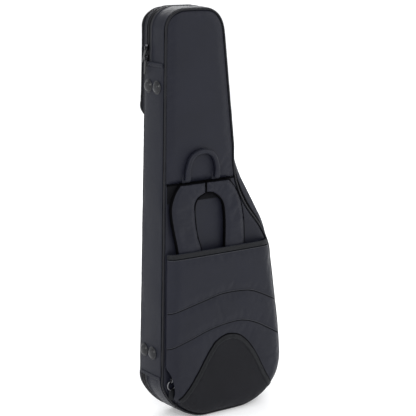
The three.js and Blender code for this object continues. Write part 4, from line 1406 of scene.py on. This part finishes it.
# ---- Flanges of near-black painted shade behind the corded edges, and the padded inside ----
# The flanges are near-black painted shade in the grooves beside the corded edges.
sewn_band("strap_side_shade_flange", ALL_ROUND, (-10.0, -0.4), (1.5, 3.1), 0.5, "shell", SEAM_SHADE)
sewn_band("lid_shade_flange", ALL_ROUND, (-10.0, -1.8), (DEPTH - 3.2, DEPTH - 1.8), 0.5, "lid",
          SEAM_SHADE)
for pad_name, span, out, depth, radius, pad_body_name, pad_nodes in (
        ("wall_padding", ZIP_SIDE, (-16.0, -2.5), (18.6, 81.8), 3.6, "shell", ["main_foam"]),
        ("spine_padding", SPINE_SIDE, (-15.8, -2.5), (18.6, 90.0), 3.6, "shell", ["hinge_foam"]),
        ("lid_lip_padding", ZIP_SIDE, (-15.8, -2.5), (88.8, 97.0), 2.6, "lid", ["lid_foam"]),
        ("lid_spine_edge", SPINE_SIDE, (-18.0, -8.6), (93.0, 101.0), 2.2, "lid", [])):
    sewn_band(pad_name, span, out, depth, radius, pad_body_name, PLUSH, pad_nodes,
                        wobble=0.4)


def quilted(xz):
    """Diamond quilting lines, as a height from 0 on a line to 1 between lines."""
    first = np.abs(np.sin((xz[:, 0] + xz[:, 1]) * math.pi / 62))
    second = np.abs(np.sin((xz[:, 0] - xz[:, 1]) * math.pi / 62))
    return np.minimum(first, second) ** 0.5


def floor_lining(xz, distance):
    return 18.4 + roll(distance, 10, 1.2) + 1.0 * quilted(xz)


def lid_lining(xz, distance):
    return 92.7 - roll(distance, 10, 1.0) - 0.9 * quilted(xz)


panel_piece("floor_lining_plush", inset(16.6), "shell", PLUSH, floor_lining, 1.4,
            ["back_lining", "back_foam"], step=9.0, towards=1)
panel_piece("lid_lining_plush", inset(16.6), "lid", PLUSH, lid_lining, 1.4, ["lid_lining"],
            step=9.0, towards=-1)


def neck_cradle():
    """A foam block in plush with a rounded channel for the neck."""
    profile = [(17, 21.2), (17, 54), (22, 60.5), (70, 61), (75, 56), (77, 40), (83, 34.6), (121, 34.6),
               (127, 40), (129, 56), (134, 61), (189, 60.5), (194.5, 54), (194.5, 21.2)]
    line = resample(np.array(profile, float), 5.0, closed=True)
    levels = [(690.6, 2.4), (691.6, 1.0), (694, 0.2), (700, 0), (710, 0), (721, 0), (732, 0), (742, 0),
              (748, 0.2), (750.4, 1.0), (751.4, 2.4)]
    area = (line[:, 0] * np.roll(line[:, 1], -1) - np.roll(line[:, 0], -1) * line[:, 1]).sum()
    normal = normals_of(line) * (1 if area > 0 else -1)
    grid = np.array([place(line[:, 0] - normal[:, 0] * d, line[:, 1] - normal[:, 1] * d, z)
                     for z, d in levels])
    faces = skin_grid(grid, False, True, cap=True)
    obj = fix_normals(new_object("neck_cradle_pad", grid.reshape(-1, 3), faces))
    bm = bmesh.new()
    bm.from_mesh(obj.data)
    bmesh.ops.triangulate(bm, faces=[f for f in bm.faces if len(f.verts) > 4])
    bm.to_mesh(obj.data)
    bm.free()
    finish_piece(obj, "shell", PLUSH, ["neck_cradle"])
    return obj


neck_cradle()
strap_rows = np.array([[place(x, 63.4 + 0.5 * math.sin((x - 70) / 64 * math.pi), z)
                        for z in np.linspace(702.4, 739.6, 9)] for x in np.linspace(70.5, 133.5, 20)])
neck_strap = strip("neck_strap_tape", strap_rows, 1.8, "shell", TAPE, ["neck_strap"],
                   towards=OUT_BACK)

# ---- Seams across the spine ----------------------------------------------------------------
def on_spine(y, z, proud):
    """A place on the spine's cloth, which bulges out a little between its edges."""
    across = min(max((y - GUSSET_START) / (SPINE_END - GUSSET_START), 0), 1)
    return place(spine_x(z) - SPINE_BULGE * math.sin(math.pi * across) - proud, y, z)


for seam_name, seam_at, step_down in (("upper", ZIP_END_Z, -8.5), ("lower", LOWER_SPINE_SEAM_Z, -7.0)):
    section = ((1.5, 0.1), (1.0, 0.8), (0, 1.1), (step_down * 0.5, 0.8), (step_down, 0.7),
               (step_down - 0.8, 0.1))
    seam_rows = np.array([[on_spine(y, seam_at + h, lift) for h, lift in section]
                          for y in np.linspace(5.6, SPINE_END - 1.9, 40)])
    strip(f"spine_seam_{seam_name}", seam_rows, 0.9, "shell", NYLON_SIDE_SHADED, towards=OUT_SPINE)

# ---- Thread --------------------------------------------------------------------------------
TAB_FOOT_Z = 636.5


def crossed_box(half_low, half_high, low, high):
    """A sewn box with a cross in it."""
    a, b, c, d = (-half_low, low), (half_low, low), (half_high, high), (-half_high, high)
    return resample([a, b, c, d, a, c, d, b], 1.0)


shell_rows = []
for height in (2.6, 9.6):
    line = np.array([[(x, POCKET_TOP - height)] for x in hem_x])
    shell_rows.append((on_pocket(line, 1.85)[:, 0], OUT_FRONT))
for offset in (2.4, 9.6):
    line = rows_beside(border_line, [KICK_SIDE * offset])
    shell_rows.append((on_pocket(line, 2.15)[:, 0], OUT_FRONT))
for arc in (ARC_UPPER, ARC_LOWER):
    inner_arc = arc[(edge_distance(arc, POCKET_RING) > 9) & inside(arc, POCKET_RING)]
    for shift in (-3.4, 3.4):
        line = rows_beside(inner_arc, [shift])
        shell_rows.append((on_pocket(line, 0.25)[:, 0], OUT_FRONT))
for at in (HANDLE_X - HANDLE_HALF, HANDLE_X + HANDLE_HALF):
    line = crossed_box(7, 6, 3, 19)
    shell_rows.append((place(at + line[:, 0], -6.5 + np.abs(line[:, 0]) * 0.09 + line[:, 1] * 0.055,
                             TAB_FOOT_Z + line[:, 1]), OUT_FRONT))
for seam_at in (ZIP_END_Z - 2.2, ZIP_END_Z - 6.4, LOWER_SPINE_SEAM_Z - 1.6, LOWER_SPINE_SEAM_Z - 5.2):
    across_spine = np.array([on_spine(y, seam_at, 1.35) for y in np.linspace(6.5, SPINE_END - 2.9, 40)])
    shell_rows.append((across_spine, OUT_SPINE))
for low_end in (ANCHOR_NEAR, -ANCHOR_FAR):
    path = np.array([neck_place(4.25 + 1.3 * math.sin(math.pi * s / (ANCHOR_FAR - ANCHOR_NEAR)),
                                SIDE_HANDLE["y"] + w, low_end + s) for w, s in crossed_box(9, 9, 4, 28)])
    shell_rows.append((path, outwards))
side_normal = normals_of(OUTLINE)[2:ZIP_END - 1]
side_line = OUTLINE[2:ZIP_END - 1] + side_normal * 0.75
side_normal = in_space(side_normal)
for y in (69.0, 74.0):
    shell_rows.append((place(side_line[:, 0], y, side_line[:, 1]), side_normal))
thread("bag_stitching", shell_rows, "shell")

lid_rows = [(place(side_line[:, 0], LID_Y + 2.6, side_line[:, 1]), side_normal)]
for height in (373.2, 380.8):
    lid_rows.append((place(front_x, front_y + 0.75, height), OUT_BACK))
for y in (DEPTH + 20.6, DEPTH + 25.4):
    lid_rows.append((place(zip_line[:, 0] + zip_normal[:, 0] * 0.6, y,
                           zip_line[:, 1] + zip_normal[:, 1] * 0.6), zip_outward))
thread("lid_stitching", lid_rows, "lid")
